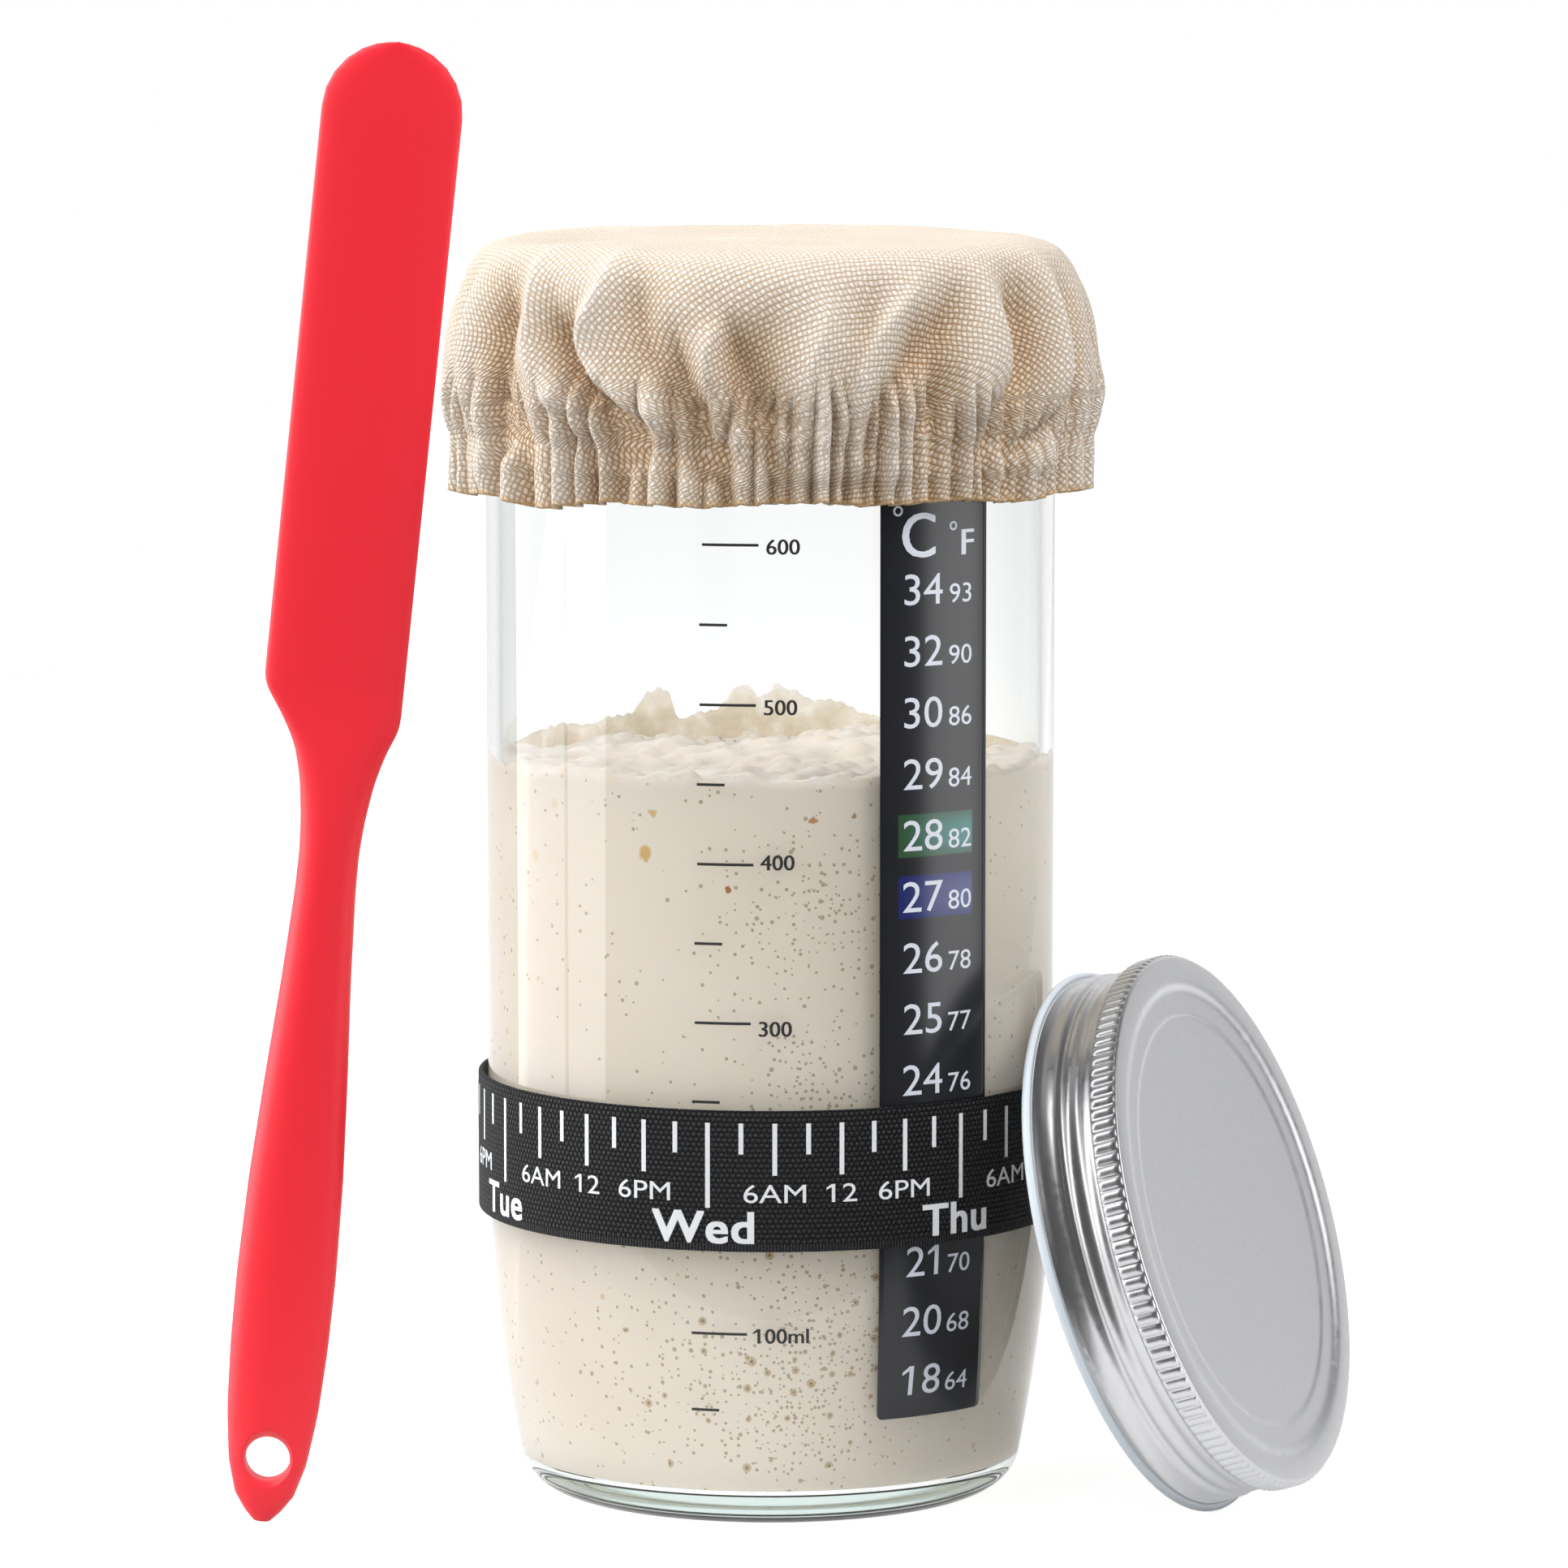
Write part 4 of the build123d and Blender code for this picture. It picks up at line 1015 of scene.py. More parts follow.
def canvasCloth():
    # plain weave on the flat cut: threads go over and under by the sign of two sines; the folds get painted
    # shade and the crests a painted highlight
    cloth = Finish("naturalCanvas", Roughness=0.92, Sheen_Weight=0.25, Sheen_Roughness=0.35)
    cloth.shader.inputs["Specular IOR Level"].default_value = 0.25
    turn = (0, 0, math.radians(cover["turn"]))
    at = cloth.stretched(cloth.flat(), (1 / (cover["across"] * mm), 1 / (cover["along"] * mm), 1), turn)
    for scale, drift in ((260, 0.6), (1000, 0.5)):
        shift = cloth.stretched(cloth.noise(cloth.flat(), scale, 2, output=1), (drift, drift, 0))
        at = cloth.add("VectorMath", {0: at, 1: shift}, operation="ADD")
    split = cloth.add("SeparateXYZ", {0: at}).node.outputs
    u, v = (cloth.math("SINE", cloth.math("MULTIPLY", split[k], math.pi)) for k in (0, 1))
    over = cloth.math("GREATER_THAN", cloth.math("MULTIPLY", u, v), 0.0)
    # each crossing on top shows as an oval grain; the threads between lie lower
    ovalU, ovalV = (cloth.math("POWER", cloth.math("ABSOLUTE", wave), power)
                    for wave, power in ((u, 0.55), (v, 0.8)))
    pick = cloth.math("MULTIPLY", cloth.math("MULTIPLY", ovalU, ovalV),
                      cloth.add("Mix", {0: over, 2: 0.55, 3: 1.0}))
    yarn = cloth.noise(cloth.stretched(cloth.flat(), (900, 900, 1)), 1.6, 3)
    slub = cloth.noise(cloth.stretched(cloth.flat(), (160, 900, 1), turn), 1.0, 2)
    fold = cloth.add("Attribute", output=2, attribute_name="fold")
    # painted shade: deep in a fold the gaps turn darker and browner, and the whole face is darkened
    deep = cloth.between(fold, 0.6, -3.0)
    light = cloth.mix(cloth.between(slub, 0.35, 0.65), *cover["thread"])
    gap = cloth.mix(deep, *cover["gapsWithFoldShade"])
    face = cloth.mix(cloth.between(pick, 0.12, 0.72), gap, light)
    # painted highlight: the face turns paler on a crest
    crest = cloth.between(fold, 0.8, 2.8)
    face = cloth.mix(cloth.math("MULTIPLY", crest, 0.5), face, cover["paintedCrestHighlight"])
    face = cloth.mix(cloth.math("MULTIPLY", deep, 0.8), face, cover["paintedFoldShade"], "MULTIPLY")
    # raw ochre edge, and the broken line of thread over the elastic
    edge = cloth.between(cloth.add("Attribute", output=2, attribute_name="hem"), 0.9, 0.1)
    edge = cloth.math("MULTIPLY", edge, cloth.between(slub, 0.3, 0.6, 0.4, 0.9))
    face = cloth.mix(edge, face, cover["rawEdge"])
    high = cloth.add("SeparateXYZ", {0: cloth.place()}).node.outputs[2]
    away = cloth.math("ABSOLUTE", cloth.math("SUBTRACT", high, cover["elastic"] * mm))
    broken = cloth.between(cloth.noise(cloth.flat(), 420, 1), 0.56, 0.64, 0.0, 0.35)
    line = cloth.math("MULTIPLY", cloth.between(away, 0.34 * mm, 0.2 * mm), broken)
    face = cloth.mix(line, face, cover["sewn"])
    height = cloth.math("ADD", pick, cloth.math("MULTIPLY", yarn, 0.25))
    cloth.set(Base_Color=face, Normal=cloth.bump(height, 0.00022, 0.9))
    return cloth.material


makeCover()
elastic = Finish("wovenElastic", Base_Color=(0.86, 0.84, 0.79, 1), Roughness=0.8)
ribs = elastic.add("TexWave", {"Vector": elastic.place(), "Scale": 260.0}, output=1, bands_direction="Z")
elastic.set(Normal=elastic.bump(ribs, 0.0002, 0.6))
put(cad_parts["cover_elastic"], "cover", "elastic", elastic.material)
report("cloth cover")


# Feeding band

band = {
    "inner": 40.5, "outer": 41.4, "low": 40.1, "high": 59.7, "edge": 0.38,
    "lap": 14.0, "lapOuter": 42.3, "lapUnder": 0.45,
    "wednesday": -11.96, "days": ["Wed", "Thu", "Fri", "Sat", "Sun", "Mon", "Tue"],
    "tickDrop": 1.7, "tickWidth": 0.66, "short": 4.3, "mid": 7.2, "long": 11.8,
    "hours": [(2, "6AM"), (4, "12"), (6, "6PM")],  # eighths of a day
    "hourCap": 2.5, "hourBase": 47.0, "hourWide": 1.28,
    "dayCap": 4.25, "dayBase": 41.4, "dayWide": 1.12, "dayAcross": -0.8,
    "dayStem": 0.17, "dayBar": 0.1, "besideLap": 3.6,  # one name is moved out from under the lap
    "rowPitch": 0.7, "blockPitch": 0.78, "selvedge": 1.2, "selvedgePitch": 0.45,
    # the knit's colour down in its valleys is painted shade
    "valley": (0.0006, 0.0008, 0.0010, 1), "knit": (0.080, 0.082, 0.090, 1),
    "ink": (0.80, 0.82, 0.84, 1), "thread": (0.03, 0.03, 0.032, 1),
    "stitches": 8, "stitchLength": 1.7, "stitchThick": 0.2, "stitchInset": 2.3,
}


def knob(finish, value):
    # a rounded bump in each whole step of a value
    share = finish.math("MULTIPLY", finish.math("FRACT", value), 2.0)
    share = finish.math("ABSOLUTE", finish.math("SUBTRACT", share, 1.0))
    return finish.math("SUBTRACT", 1.0, finish.math("POWER", share, 2.2))


def makeBand():
    # a swept ring with the lap at the back, marks bent round it and stitches through the lap
    webbing = Finish("blackWebbing", Roughness=0.62)
    webbing.shader.inputs["Specular IOR Level"].default_value = 0.22
    # knit: rows of rounded blocks, each row half a block on; the selvedge at the foot is of upright stitches
    at = webbing.add("SeparateXYZ", {0: webbing.flat()}).node.outputs
    row = webbing.math("DIVIDE", at[1], band["rowPitch"] * mm)
    step = webbing.math("DIVIDE", at[0], band["blockPitch"] * mm)
    step = webbing.math("ADD", step, webbing.math("MULTIPLY", webbing.math("FLOOR", row), 0.5))
    foot = webbing.math("LESS_THAN", at[1], (band["low"] + band["selvedge"]) * mm)
    selvedge = knob(webbing, webbing.math("DIVIDE", at[0], band["selvedgePitch"] * mm))
    height = webbing.math("MULTIPLY", knob(webbing, row), knob(webbing, step))
    height = webbing.add("Mix", {0: foot, 2: height, 3: selvedge})
    fine = webbing.noise(webbing.flat(), 4200, 2)
    # painted shade: the colour darkens down into the knit's valleys and is lighter on the blocks' tops
    knitShading = webbing.math("MULTIPLY", height, webbing.between(fine, 0.35, 0.7, 0.15, 1.0))
    colour = webbing.mix(knitShading, band["valley"], band["knit"])
    webbing.set(Base_Color=colour, Normal=webbing.bump(height, 0.0005, 1.0))
    ring = sweep("bandRing", bandSection(band["inner"], band["outer"]), np.arange(-180, 180, 1.0),
                 closed=True)
    half = math.degrees(band["lap"] / 2 / band["lapOuter"])
    lapSection = bandSection(band["inner"] + band["lapUnder"], band["lapOuter"])
    lapped = sweep("bandLap", lapSection, np.linspace(180 - half, 180 + half, 20))
    strap = joined("feedingBand", [ring, lapped])
    put(strap, "band", "band_webbing", webbing.material, "feeding_band")

    ink = Finish("whiteInk", Base_Color=band["ink"], Roughness=0.7)
    rough = ink.noise(ink.place(), 1400, 3, 0.6)
    ink.set(Normal=ink.bump(rough, 0.0002, 0.5))
    day = 360 / 7
    face = band["outer"] + 0.01
    marks = []
    for k, name in enumerate(band["days"]):
        start = band["wednesday"] + day * k
        aside = band["besideLap"] if name == "Sun" else 0.0
        marks += overprinted(name, band["dayCap"], band["dayStem"], band["dayBar"], start, face,
                             band["dayBase"], band["dayAcross"] + aside, band["dayWide"])
        for step in range(8):
            length = band["long"] if step == 0 else band["short"] if step % 2 else band["mid"]
            bearing = start + day * step / 8
            if abs(bearing - 180) < half + 1 and step:
                continue
            tick = plate(band["tickWidth"], length)
            marks.append(wrapped(tick, bearing, face, band["high"] - band["tickDrop"]))
        for step, hour in band["hours"]:
            bearing = start + day * step / 8
            if abs(bearing - 180) > half + 4:
                word = lettering(hour, band["hourCap"])
                marks.append(wrapped(word, bearing, face, band["hourBase"], 0.0, band["hourWide"]))
    put(joined("bandMarks", marks), "band", "band_webbing", ink.material)

    # the stitches of the lap: short rods of thread, sunk halfway into the webbing
    thread = Finish("blackThread", Base_Color=band["thread"], Roughness=0.6)
    rods = []
    pitch = (band["high"] - band["low"]) / band["stitches"]
    for i in range(band["stitches"]):
        for side in (-1, 1):
            bearing = 180 + side * (half - band["stitchInset"])
            middle = band["low"] + pitch * (i + 0.5)
            rods.append(threadRod(bearing, band["lapOuter"] + 0.02, middle, band["stitchLength"],
                                  band["stitchThick"]))
    put(joined("bandStitches", rods), "band", "thread", thread.material, "band_stitches")


def bandSection(inner, outer):
    # the webbing's section between two radii, over its full width
    return roundedBox(inner, outer, band["low"], band["high"], band["edge"])


def threadRod(bearing, radius, height, length, thick):
    # an upright stitch: a round rod that dives at both ends
    along = np.linspace(-1, 1, 9)
    turn = np.linspace(0, 2 * np.pi, 8, endpoint=False)
    size = thick * np.sqrt(np.clip(1 - along**6, 0, 1))
    out = radius - 0.35 * along**4
    x = size[:, None] * np.cos(turn)
    depth = out[:, None] + size[:, None] * np.sin(turn)
    points = onJar(bearing + np.degrees(x / radius), depth, height + along[:, None] * length / 2 + 0 * x)
    return outwards(gridPiece("stitch", points, wrapColumns=True))


makeBand()
report("feeding band")


# Temperature strip

strip = {
    "bearing": 34.85, "drift": 2.2, "driftOver": 35, "width": 17.9, "low": 15.4, "high": 145.4, "corner": 0.8,
    "inner": 0.06, "outer": 0.22, "printGap": 0.008, "glueInset": 0.15, "glueGap": 0.004,
    "first": 20.7, "pitch": 8.47, "windowWidth": 12.7, "windowHeight": 6.2,
    "degrees": [(18, 64), (20, 68), (21, 70), (22, 72), (23, 74), (24, 76), (25, 77), (26, 78), (27, 80),
                (28, 82), (29, 84), (30, 86), (32, 90), (34, 93)],
    "largeCap": 4.15, "largeAcross": -2.3, "largeWide": 1.12,
    "smallCap": 2.6, "smallAcross": 4.0, "smallWide": 1.16,
    # the two units at the top: letter, height, place across and stretch; then the degree rings
    "units": [("C", 6.0, -3.1, 0.95), ("F", 3.45, 5.3, 1.15)], "unitBase": 135.25, "unitBold": 0.12,
    "rings": [(0.74, -6.4, 141.7), (0.66, 2.65, 139.3)], "ringLine": 0.3,
    "film": [(0.010, 0.012, 0.016, 1), (0.020, 0.020, 0.024, 1)],
    # lit windows: which one, and its colours at the edge and in the middle
    "lit": [(9, (0.03, 0.085, 0.035, 1), (0.061, 0.22, 0.21, 1)),
            (8, (0.012, 0.02, 0.13, 1), (0.07, 0.075, 0.22, 1))],
    "ink": (0.72, 0.76, 0.84, 1), "glue": (0.8, 0.85, 0.84, 1),
}


def stripBearing(height):
    # the strip wanders to the right on the tapered foot, by the square of the height below the taper's start
    below = np.clip(jar["taperStart"] - height, 0, None)
    return strip["bearing"] + strip["drift"] * (below / strip["driftOver"]) ** 2


def stripPiece(name, width, low, high, inner, outer, corner):
    # a patch wrapped on the tapered wall, with round corners; each row is a closed section of front and back
    quarter = np.linspace(0, np.pi / 2, 8)
    rows = np.concatenate([low + corner * (1 - np.cos(quarter)),
                           np.arange(low + corner + 1, high - corner, 1.5),
                           high - corner + corner * np.sin(quarter)])
    gap = np.clip(np.minimum(rows - low, high - rows), 0, corner)
    half = width / 2 - corner + np.sqrt(np.clip(corner**2 - (corner - gap) ** 2, 0, None))
    across = np.linspace(-1, 1, 25)
    front = half[:, None] * across
    flat = np.concatenate([front, front[:, ::-1]], axis=1)
    depth = np.concatenate([np.full(25, outer), np.full(25, inner)])[None, :] + 0 * flat
    height = rows[:, None] + 0 * flat
    flat, depth, height = (np.concatenate([a[:1], a, a[-1:]]) for a in (flat, depth, height))
    depth[0] = depth[-1] = (inner + outer) / 2
    wall = wallRadius(height)
    points = onJar(stripBearing(height) + np.degrees(flat / wall), wall + depth, height)
    uv = np.stack([flat, height], -1) * mm
    return outwards(gridPiece(name, points, wrapColumns=True, uv=uv))


def stripFace(height):
    # radius of the film's front, where the numbers lie
    return wallRadius(height) + strip["outer"] + strip["printGap"]


def makeStrip():
    # dark film with two lit windows, the glue under it and the numbers on it
    film = Finish("thermometerFilm", Roughness=0.22, IOR=1.5)
    split = film.add("SeparateXYZ", {0: film.flat()}).node.outputs
    cloud = film.noise(film.flat(), 60, 2)
    colour = film.mix(cloud, *strip["film"])
    half, tall = strip["windowWidth"] / 2, strip["windowHeight"] / 2
    across = film.between(film.math("ABSOLUTE", split[0]), half * mm, (half - 0.25) * mm)
    middle = film.between(split[0], -5.5 * mm, 4.5 * mm)
    for step, edge, core in strip["lit"]:
        centre = (strip["first"] + strip["pitch"] * step) * mm
        away = film.math("ABSOLUTE", film.math("SUBTRACT", split[1], centre))
        window = film.math("MULTIPLY", across, film.between(away, tall * mm, (tall - 0.3) * mm))
        glow = film.mix(film.math("MULTIPLY", middle, film.between(away, 3.4 * mm, 1.0 * mm)), edge, core)
        colour = film.mix(window, colour, glow)
    film.set(Base_Color=colour)
    piece = stripPiece("thermometerFilm", strip["width"], strip["low"], strip["high"], strip["inner"],
                       strip["outer"], strip["corner"])
    put(piece, "jar", "strip_film", film.material, "thermometer_film", "thermometer_windows")
    glue = Finish("clearAdhesive", Base_Color=strip["glue"], Roughness=0.3)
    inset, gap = strip["glueInset"], strip["glueGap"]
    piece = stripPiece("thermometerAdhesive", strip["width"] - 2 * inset, strip["low"] + inset,
                       strip["high"] - inset, gap, strip["inner"] - gap, strip["corner"])
    put(piece, "jar", "adhesive", glue.material, "thermometer_adhesive")

    marks = []
    for step, numbers in enumerate(strip["degrees"]):
        base = strip["first"] + strip["pitch"] * step - strip["largeCap"] / 2
        for number, size in zip(numbers, ("large", "small")):
            mesh = lettering(str(number), strip[size + "Cap"], depth=letters["thin"])
            marks.append(wrapped(mesh, stripBearing(base), stripFace, base, strip[size + "Across"],
                                 strip[size + "Wide"]))
    for letter, cap, across, wide in strip["units"]:
        for shift in (-strip["unitBold"], strip["unitBold"]):
            face = jar["radius"] + strip["outer"] + 0.01 + shift / 30
            mesh = lettering(letter, cap, depth=letters["thin"])
            marks.append(wrapped(mesh, strip["bearing"], face, strip["unitBase"], across + shift, wide))
    for radius, across, base in strip["rings"]:
        ring = dial(radius, strip["ringLine"], letters["thin"])
        marks.append(wrapped(ring, strip["bearing"], stripFace, base, across))
    ink = Finish("paleInk", Base_Color=strip["ink"], Roughness=0.4)
    put(joined("thermometerNumbers", marks), "jar", "strip_film", ink.material)


makeStrip()
report("temperature strip")


# Volume marks on the glass

scale = {
    "first": 27.75, "pitch": 21.92, "line": 0.38, "long": 7.8, "short": 3.9, "cap": 2.05,
    "longAt": -7.8, "shortAt": -10.9, "labelAt": -0.85, "wide": 1.05, "printGap": 0.02,
    "lean": -1.43, "leanTop": 137.3, "leanOver": 60,  # the print wanders by this bearing over this height
    "labelDrops": [0.25, 0.25, 0.74, -0.3, 0.3, 0.25], "bold": 0.06, "lowRise": 0.5,
    # the ticks in halves of 100 ml, counted from 50
    "marks": [0, 1, 3, 4, 5, 6, 7, 8, 9, 10, 11],
    "ink": (0.03, 0.03, 0.03, 1),
}


def printFace(height):
    # radius of the print on the glass
    return wallRadius(height) + scale["printGap"]


def makeScale():
    # a short tick at each 50 ml, a long one with its number at each 100 ml
    marks = []
    for half in scale["marks"]:
        height = scale["first"] + scale["pitch"] * (half - 1) / 2 + (scale["lowRise"] if half < 2 else 0)
        drift = scale["lean"] * (scale["leanTop"] - height) / scale["leanOver"]
        whole = half % 2 == 1
        length, bearing = (scale["long"], scale["longAt"]) if whole else (scale["short"], scale["shortAt"])
        tick = plate(length, scale["line"], letters["thin"])
        marks.append(wrapped(tick, bearing + drift, printFace, height + scale["line"] / 2))
        if whole:
            label = str((half + 1) // 2 * 100) + ("ml" if half == 1 else "")
            base = height - scale["labelDrops"][half // 2] - scale["cap"] / 2
            for shift in (-scale["bold"], scale["bold"]):
                mesh = lettering(label, scale["cap"], "LEFT", letters["thin"])
                marks.append(wrapped(mesh, scale["labelAt"] + drift, lambda z: printFace(z) + shift / 30,
                                     base, shift, scale["wide"]))
    ink = Finish("greyInk", Base_Color=scale["ink"], Roughness=0.5)
    put(joined("volumeMarks", marks), "jar", "jar_glass", ink.material)


makeScale()
report("volume marks")


# Screw lid, drawn with its face at height 0 and its open side down, then leaned on its rim

lid = {
    "radius": 38.25, "height": 14.1, "metal": 0.45,
    "lean": 17.5, "facing": -22.6, "origin": (65.084, -19.032, 41.126),
    "land": 4.2, "step": 1.3, "stepDepth": 0.6, "innerLand": 3.2, "innerStep": 0.2,
    "gripDepth": 0.35, "gripHeight": 3.7, "gripCount": 136, "gripEase": 0.25, "smooth": 1.4,
    "gripUnder": 0.08, "gripBack": 0.3, "ribPower": 0.7,
    "ridge": 0.65, "groove": 1.35, "pitch": 1.2, "skirt": 0.45, "bend": 0.6, "innerBend": 0.3,
    "bead": 0.65, "beadOuter": 38.85, "curlEnd": 0.6, "sealWidth": 2.6, "sealThick": 0.8,
    "columns": 216, "sealColumns": 144,
    "rolled": (0.68, 0.685, 0.70, 1), "lacquer": (0.70, 0.76, 0.82, 1), "seal": (0.82, 0.80, 0.74, 1),
}


def lidSection(inset):
    # the wall from the face down to the skirt, moved in by the inset, with the face before it from its
    # middle out
    grip, top = lid["radius"] - lid["gripDepth"] - inset, -inset
    smoothAt, groove, skirt = (lid["radius"] - lid[k] - inset for k in ("ridge", "groove", "skirt"))
    low = -lid["gripHeight"] - lid["smooth"]
    face = lid["radius"] - lid["land"]
    inner = face - lid["step"]
    two = inner - lid["innerLand"]
    sunk = top - lid["stepDepth"]
    points = [(0, sunk - lid["innerStep"]), (two - lid["innerStep"] * 2, sunk - lid["innerStep"]),
              (two + lid["innerStep"], sunk), (inner, sunk), (face, top), (grip, top),
              (grip, -lid["gripHeight"]), (smoothAt, -lid["gripHeight"] - lid["gripDepth"]), (smoothAt, low)]
    for k in range(1, 4):
        points.append((groove if k % 2 else smoothAt, low - lid["pitch"] * k))
    points += [(skirt, low - lid["pitch"] * 3.5), (skirt, -lid["height"] + 1.6 * lid["bead"])]
    return filleted(points, lid["innerBend"] if inset else lid["bend"], 4)


def makeLid():
    # the section of the sheet metal with its curled rim, turned about its axis, then the grip's flutes and
    # the seal
    outside, inside = lidSection(0), lidSection(lid["metal"])
    rim = (lid["beadOuter"] - lid["bead"], -lid["height"] + lid["bead"])
    curl = arcPoints(rim, lid["bead"], 110, -120, 14)
    innerCurl = np.array([(lid["radius"] - lid["skirt"] - lid["metal"], -lid["height"] + lid["curlEnd"])])
    outline = np.concatenate([outside, curl, innerCurl, inside[::-1]])
    shell = turnedPiece("lidShell", outline, lid["columns"])
    # the grip: one rounded rib to each flute, rows that ease in at both ends
    root = lid["radius"] - lid["gripDepth"]
    rows = np.linspace(0, 1, 9)
    high, low = -lid["gripEase"], -lid["gripHeight"] - lid["gripEase"]
    swell = np.sqrt(np.clip(1 - (2 * rows - 1) ** 8, 0, 1))
    under = root - lid["gripUnder"]
    outer = np.stack([under + (lid["gripDepth"] + lid["gripUnder"]) * swell, high + (low - high) * rows], 1)
    back = np.stack([np.full(3, root - lid["gripBack"]), np.linspace(low, high, 3)], 1)
    section = np.concatenate([outer, back])
    count = lid["gripCount"]

    def flutes(turn, radius, height):
        # the face of the grip falls back to its root between two ribs, by the power of a sine
        rib = np.abs(np.sin(turn * count / 2)) ** lid["ribPower"]
        onFace = radius > root - 0.2
        return onFace * (rib - 1) * (radius - root + 0.1)

    grip = turnedPiece("lidGrip", section, count * 8, flutes)
    piece = joined("lid", [shell, grip])
    metal = Finish("rolledMetal", Base_Color=(0.64, 0.645, 0.66, 1), Metallic=1.0, Roughness=0.34)
    grain = metal.noise(metal.place(), 900, 3, 0.6)
    # the rolled bead shows the white lacquer of the inside
    level = metal.add("Attribute", output=2, attribute_name="level")
    bead = metal.between(level, -lid["height"] + 2.1 * lid["bead"], -lid["height"] + 1.9 * lid["bead"])
    metal.set(Base_Color=metal.mix(bead, lid["rolled"], lid["lacquer"]),
              Metallic=metal.math("SUBTRACT", 1.0, bead),
              Roughness=metal.between(grain, 0.3, 0.7, 0.28, 0.42), Normal=metal.bump(grain, 0.00002, 0.3))
    standLid(piece)
    put(piece, "lid", "lid_metal", metal.material, "lid_shell")
    outer = lid["radius"] - lid["ridge"] - lid["metal"] - 0.1
    foot = -lid["metal"] - lid["sealThick"]
    ring = roundedBox(outer - lid["sealWidth"], outer, foot, -lid["metal"] - 0.02, 0.3)
    seal = turnedPiece("lidSeal", ring, lid["sealColumns"])
    standLid(seal)
    liner = Finish("sealRing", Base_Color=lid["seal"], Roughness=0.5)
    put(seal, "lid", "lid_seal", liner.material, "lid_seal")


def standLid(piece):
    # lid coordinates to the frame: face normal from the lean and the facing
    lean, facing = math.radians(lid["lean"]), math.radians(lid["facing"])
    normal = np.array([math.cos(lean) * math.cos(facing), math.cos(lean) * math.sin(facing), math.sin(lean)])
    across = np.array([-math.sin(facing), math.cos(facing), 0])
    up = np.cross(normal, across)
    points = meshPoints(piece.data) / mm
    placed = np.array(lid["origin"]) + points[:, :1] * across + points[:, 1:2] * up + points[:, 2:] * normal
    piece.data.vertices.foreach_set("co", (placed * mm).ravel())
    piece.data.update()


makeLid()
report("screw lid")


# Spatula, drawn flat with its foot at the origin, then leaned to the right

spatula = {
    "length": 206.0, "lean": 6.1, "foot": (-72.5, -28.0),
    "handleWidth": 13.8, "handleThick": 7.4, "offset": 1.65, "neck": 8.3,
    "bladeWidth": 19.3, "bladeThick": 2.8, "bladeLength": 92.0, "shoulder": 22.9,
    "hole": 3.1, "holeHeight": 8.9, "dimple": 1.5,
    "handlePlaces": [0.0, 0.007, 0.018, 0.04, 0.075, 0.12, 0.17, 0.235, 0.3, 0.37, 0.43, 0.458],
    "handleHalves": [0.18, 0.38, 0.6, 0.79, 0.92, 0.985, 1.0, 0.95, 0.84, 0.7, 0.61, 0.6],
    "handleThicks": [0.4, 0.6, 0.76, 0.86, 0.92, 0.97, 1.0, 1.0, 0.98, 0.92, 0.84, 0.8],
    "shoulderPlaces": [0.0, 0.22, 0.44, 0.64, 0.78, 0.8, 1.0],
    "shoulderLefts": [0.0, 0.04, 0.13, 0.29, 0.53, 0.56, 1.0],
    "shoulderRights": [0.0, 0.09, 0.28, 0.6, 0.97, 1.0, 1.0],
    "shoulderThicks": [0.0, 0.14, 0.34, 0.56, 0.72, 0.75, 0.9],
    "columns": 96,
    "red": (0.95, 0.016, 0.034, 1), "core": (0.85, 0.85, 0.84, 1),
}


def spatulaEdges():
    # places along the spatula with the left edge, the right edge and the thickness there
    s = spatula
    half, neck, blade = s["handleWidth"] / 2, s["neck"] / 2, s["bladeWidth"] / 2
    rows = [(s["length"] * p, s["offset"] - half * w, s["offset"] + half * w, s["handleThick"] * t)
            for p, w, t in zip(s["handlePlaces"], s["handleHalves"], s["handleThicks"])]
    thick = s["handleThick"] * s["handleThicks"][-1]
    start = s["length"] - s["bladeLength"] + s["shoulder"] / 8 - s["shoulder"]
    a, b = s["offset"] - neck, s["offset"] + neck
    shares = zip(s["shoulderPlaces"], s["shoulderLefts"], s["shoulderRights"], s["shoulderThicks"])
    for p, left, right, t in shares:
        rows.append((start + s["shoulder"] * p, a + (-blade - a) * left, b + (blade - b) * right,
                     thick + (s["bladeThick"] - thick) * t))
    tip = s["length"] - blade
    for share in np.sin(np.radians([0, 15, 30, 45, 60, 72, 82, 88])):
        edge = blade * math.sqrt(1 - share**2)
        rows.append((tip + blade * share, -edge, edge, s["bladeThick"] * (1 - share / 5)))
    return np.array(rows)


def capped(loops, below=0.0, above=0.0):
    # loops closed at both ends by a row on the end loop's middle, moved down or up
    low, high = (end.mean(axis=1, keepdims=True) + 0 * end for end in (loops[:1], loops[-1:]))
    low[..., 2] -= below
    high[..., 2] += above
    return np.concatenate([low, loops, high])


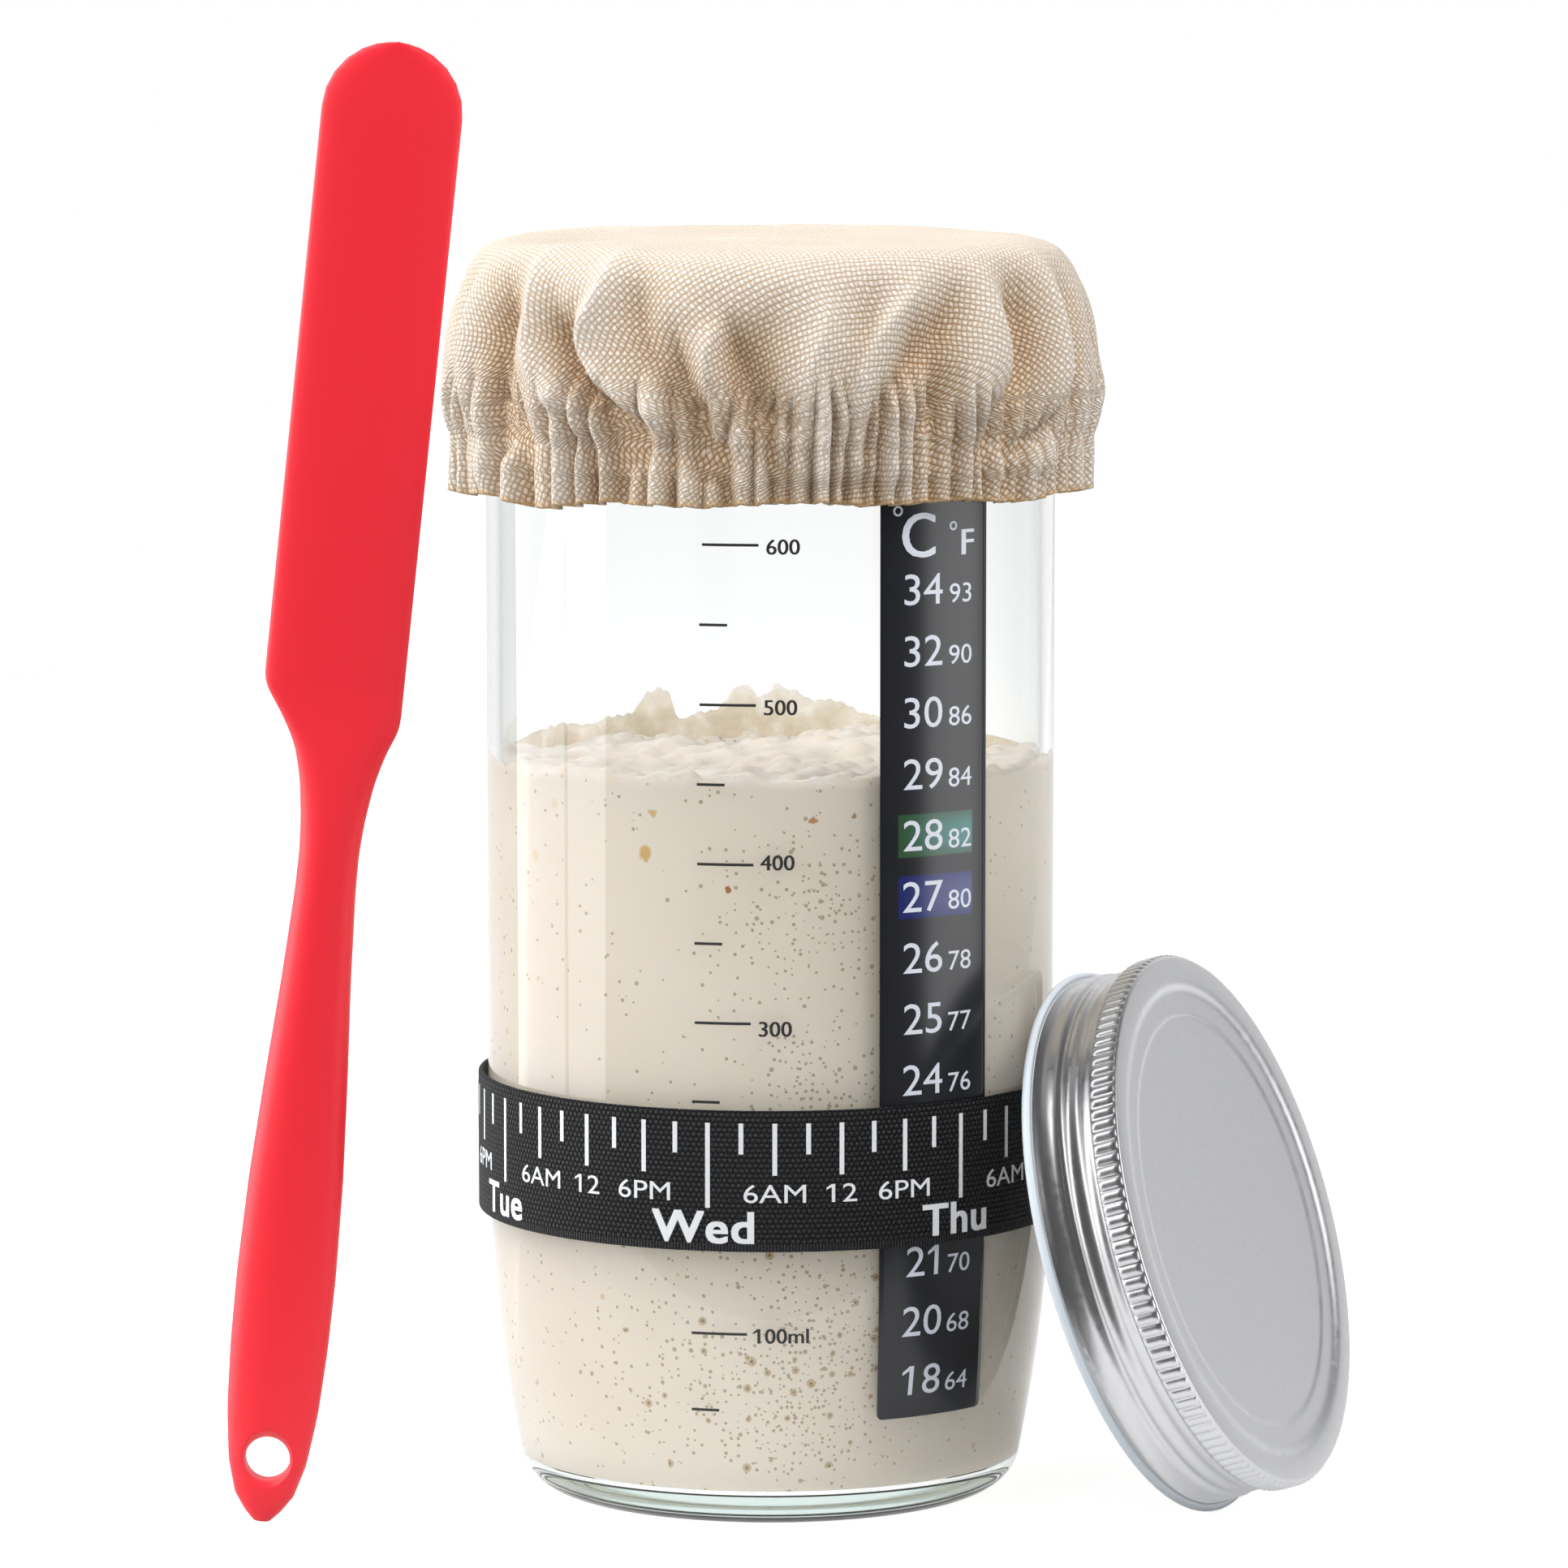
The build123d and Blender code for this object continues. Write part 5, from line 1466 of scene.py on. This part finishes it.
def makeSpatula():
    # a flattened loop at each place along it, between its two edges and of its thickness there
    knots = spatulaEdges()
    keep = np.concatenate([[True], np.diff(knots[:, 0]) > 0.05])
    knots = knots[keep]
    at = np.concatenate([np.linspace(0, 8, 14)[:-1], np.arange(8, 195, 1.0), knots[-8:, 0]])
    at = np.unique(np.clip(at, 0, knots[-1, 0]))
    left, right, thick = (np.interp(at, knots[:, 0], knots[:, k]) for k in (1, 2, 3))
    rounding = np.array([0.25, 0.5, 0.25])
    for _ in range(2):
        inner = (at[1:-1] > 6) & (at[1:-1] < 190)
        for line in (left, right, thick):
            line[1:-1] = np.where(inner, np.convolve(line, rounding, "valid"), line[1:-1])
    turn = np.linspace(0, 2 * np.pi, spatula["columns"], endpoint=False)
    # section: a flattened loop whose edges are round, fuller than an ellipse
    c, s = np.cos(turn), np.sin(turn)
    wide, deep = (right - left)[:, None] / 2, thick[:, None] / 2
    power = np.clip(2 + 1.2 * (wide / deep - 1.5) / 2.5, 2.2, 3.2)
    x = wide * np.sign(c) * np.abs(c) ** (2 / power)
    y = deep * np.sign(s) * np.abs(s) ** (2 / 2.2)
    middle = ((left + right) / 2)[:, None]
    points = np.stack([middle + x, y, at[:, None] + 0 * x], -1)
    body = outwards(gridPiece("spatula", capped(points, 0.15, 0.1), wrapColumns=True))
    # hanging hole: cut with an hourglass so that its rims are dished
    depth = np.linspace(-6, 6, 41)
    flare = spatula["hole"] + spatula["dimple"] * smooth(np.abs(depth), 1.2, 4.2) ** 1.3
    angle = np.linspace(0, 2 * np.pi, 64, endpoint=False)
    loops = np.stack([spatula["offset"] + flare[:, None] * np.cos(angle), depth[:, None] + 0 * angle,
                      spatula["holeHeight"] + flare[:, None] * np.sin(angle)], -1)
    cutter = outwards(gridPiece("cutter", capped(loops), wrapColumns=True))
    cut = body.modifiers.new("hole", "BOOLEAN")
    cut.operation, cut.object, cut.solver = "DIFFERENCE", cutter, "EXACT"
    bpy.context.view_layer.update()
    mesh = bpy.data.meshes.new_from_object(body.evaluated_get(bpy.context.evaluated_depsgraph_get()))
    bpy.data.objects.remove(body)
    bpy.data.objects.remove(cutter)
    mesh.polygons.foreach_set("use_smooth", np.ones(len(mesh.polygons), bool))
    piece = bpy.data.objects.new("spatula", mesh)
    bpy.context.scene.collection.objects.link(piece)
    # lean to the right and drop onto the floor
    lean = math.radians(spatula["lean"])
    flat = meshPoints(mesh) / mm
    x = flat[:, 0] * math.cos(lean) + flat[:, 2] * math.sin(lean)
    z = flat[:, 2] * math.cos(lean) - flat[:, 0] * math.sin(lean)
    placed = np.stack([x + spatula["foot"][0], flat[:, 1] + spatula["foot"][1], z - z.min()], 1)
    mesh.vertices.foreach_set("co", (placed * mm).ravel())
    mesh.update()
    silicone = Finish("redSilicone", Base_Color=spatula["red"], Roughness=0.45, Subsurface_Weight=0.1,
                      Subsurface_Scale=0.0015)
    silicone.shader.inputs["Subsurface Radius"].default_value = (1.0, 0.2, 0.15)
    grain = silicone.noise(silicone.place(), 2600, 3, 0.65)
    silicone.set(Normal=silicone.bump(grain, 0.00004, 0.35))
    put(piece, "spatula", "silicone", silicone.material, "spatula_silicone")
    # it stands close by, but leaves no red on the cloth and the glass
    piece.visible_diffuse = piece.visible_glossy = False
    core = Finish("stiffCore", Base_Color=spatula["core"], Roughness=0.5)
    put(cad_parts["spatula_core"], "spatula", "core", core.material)


makeSpatula()
report("spatula")
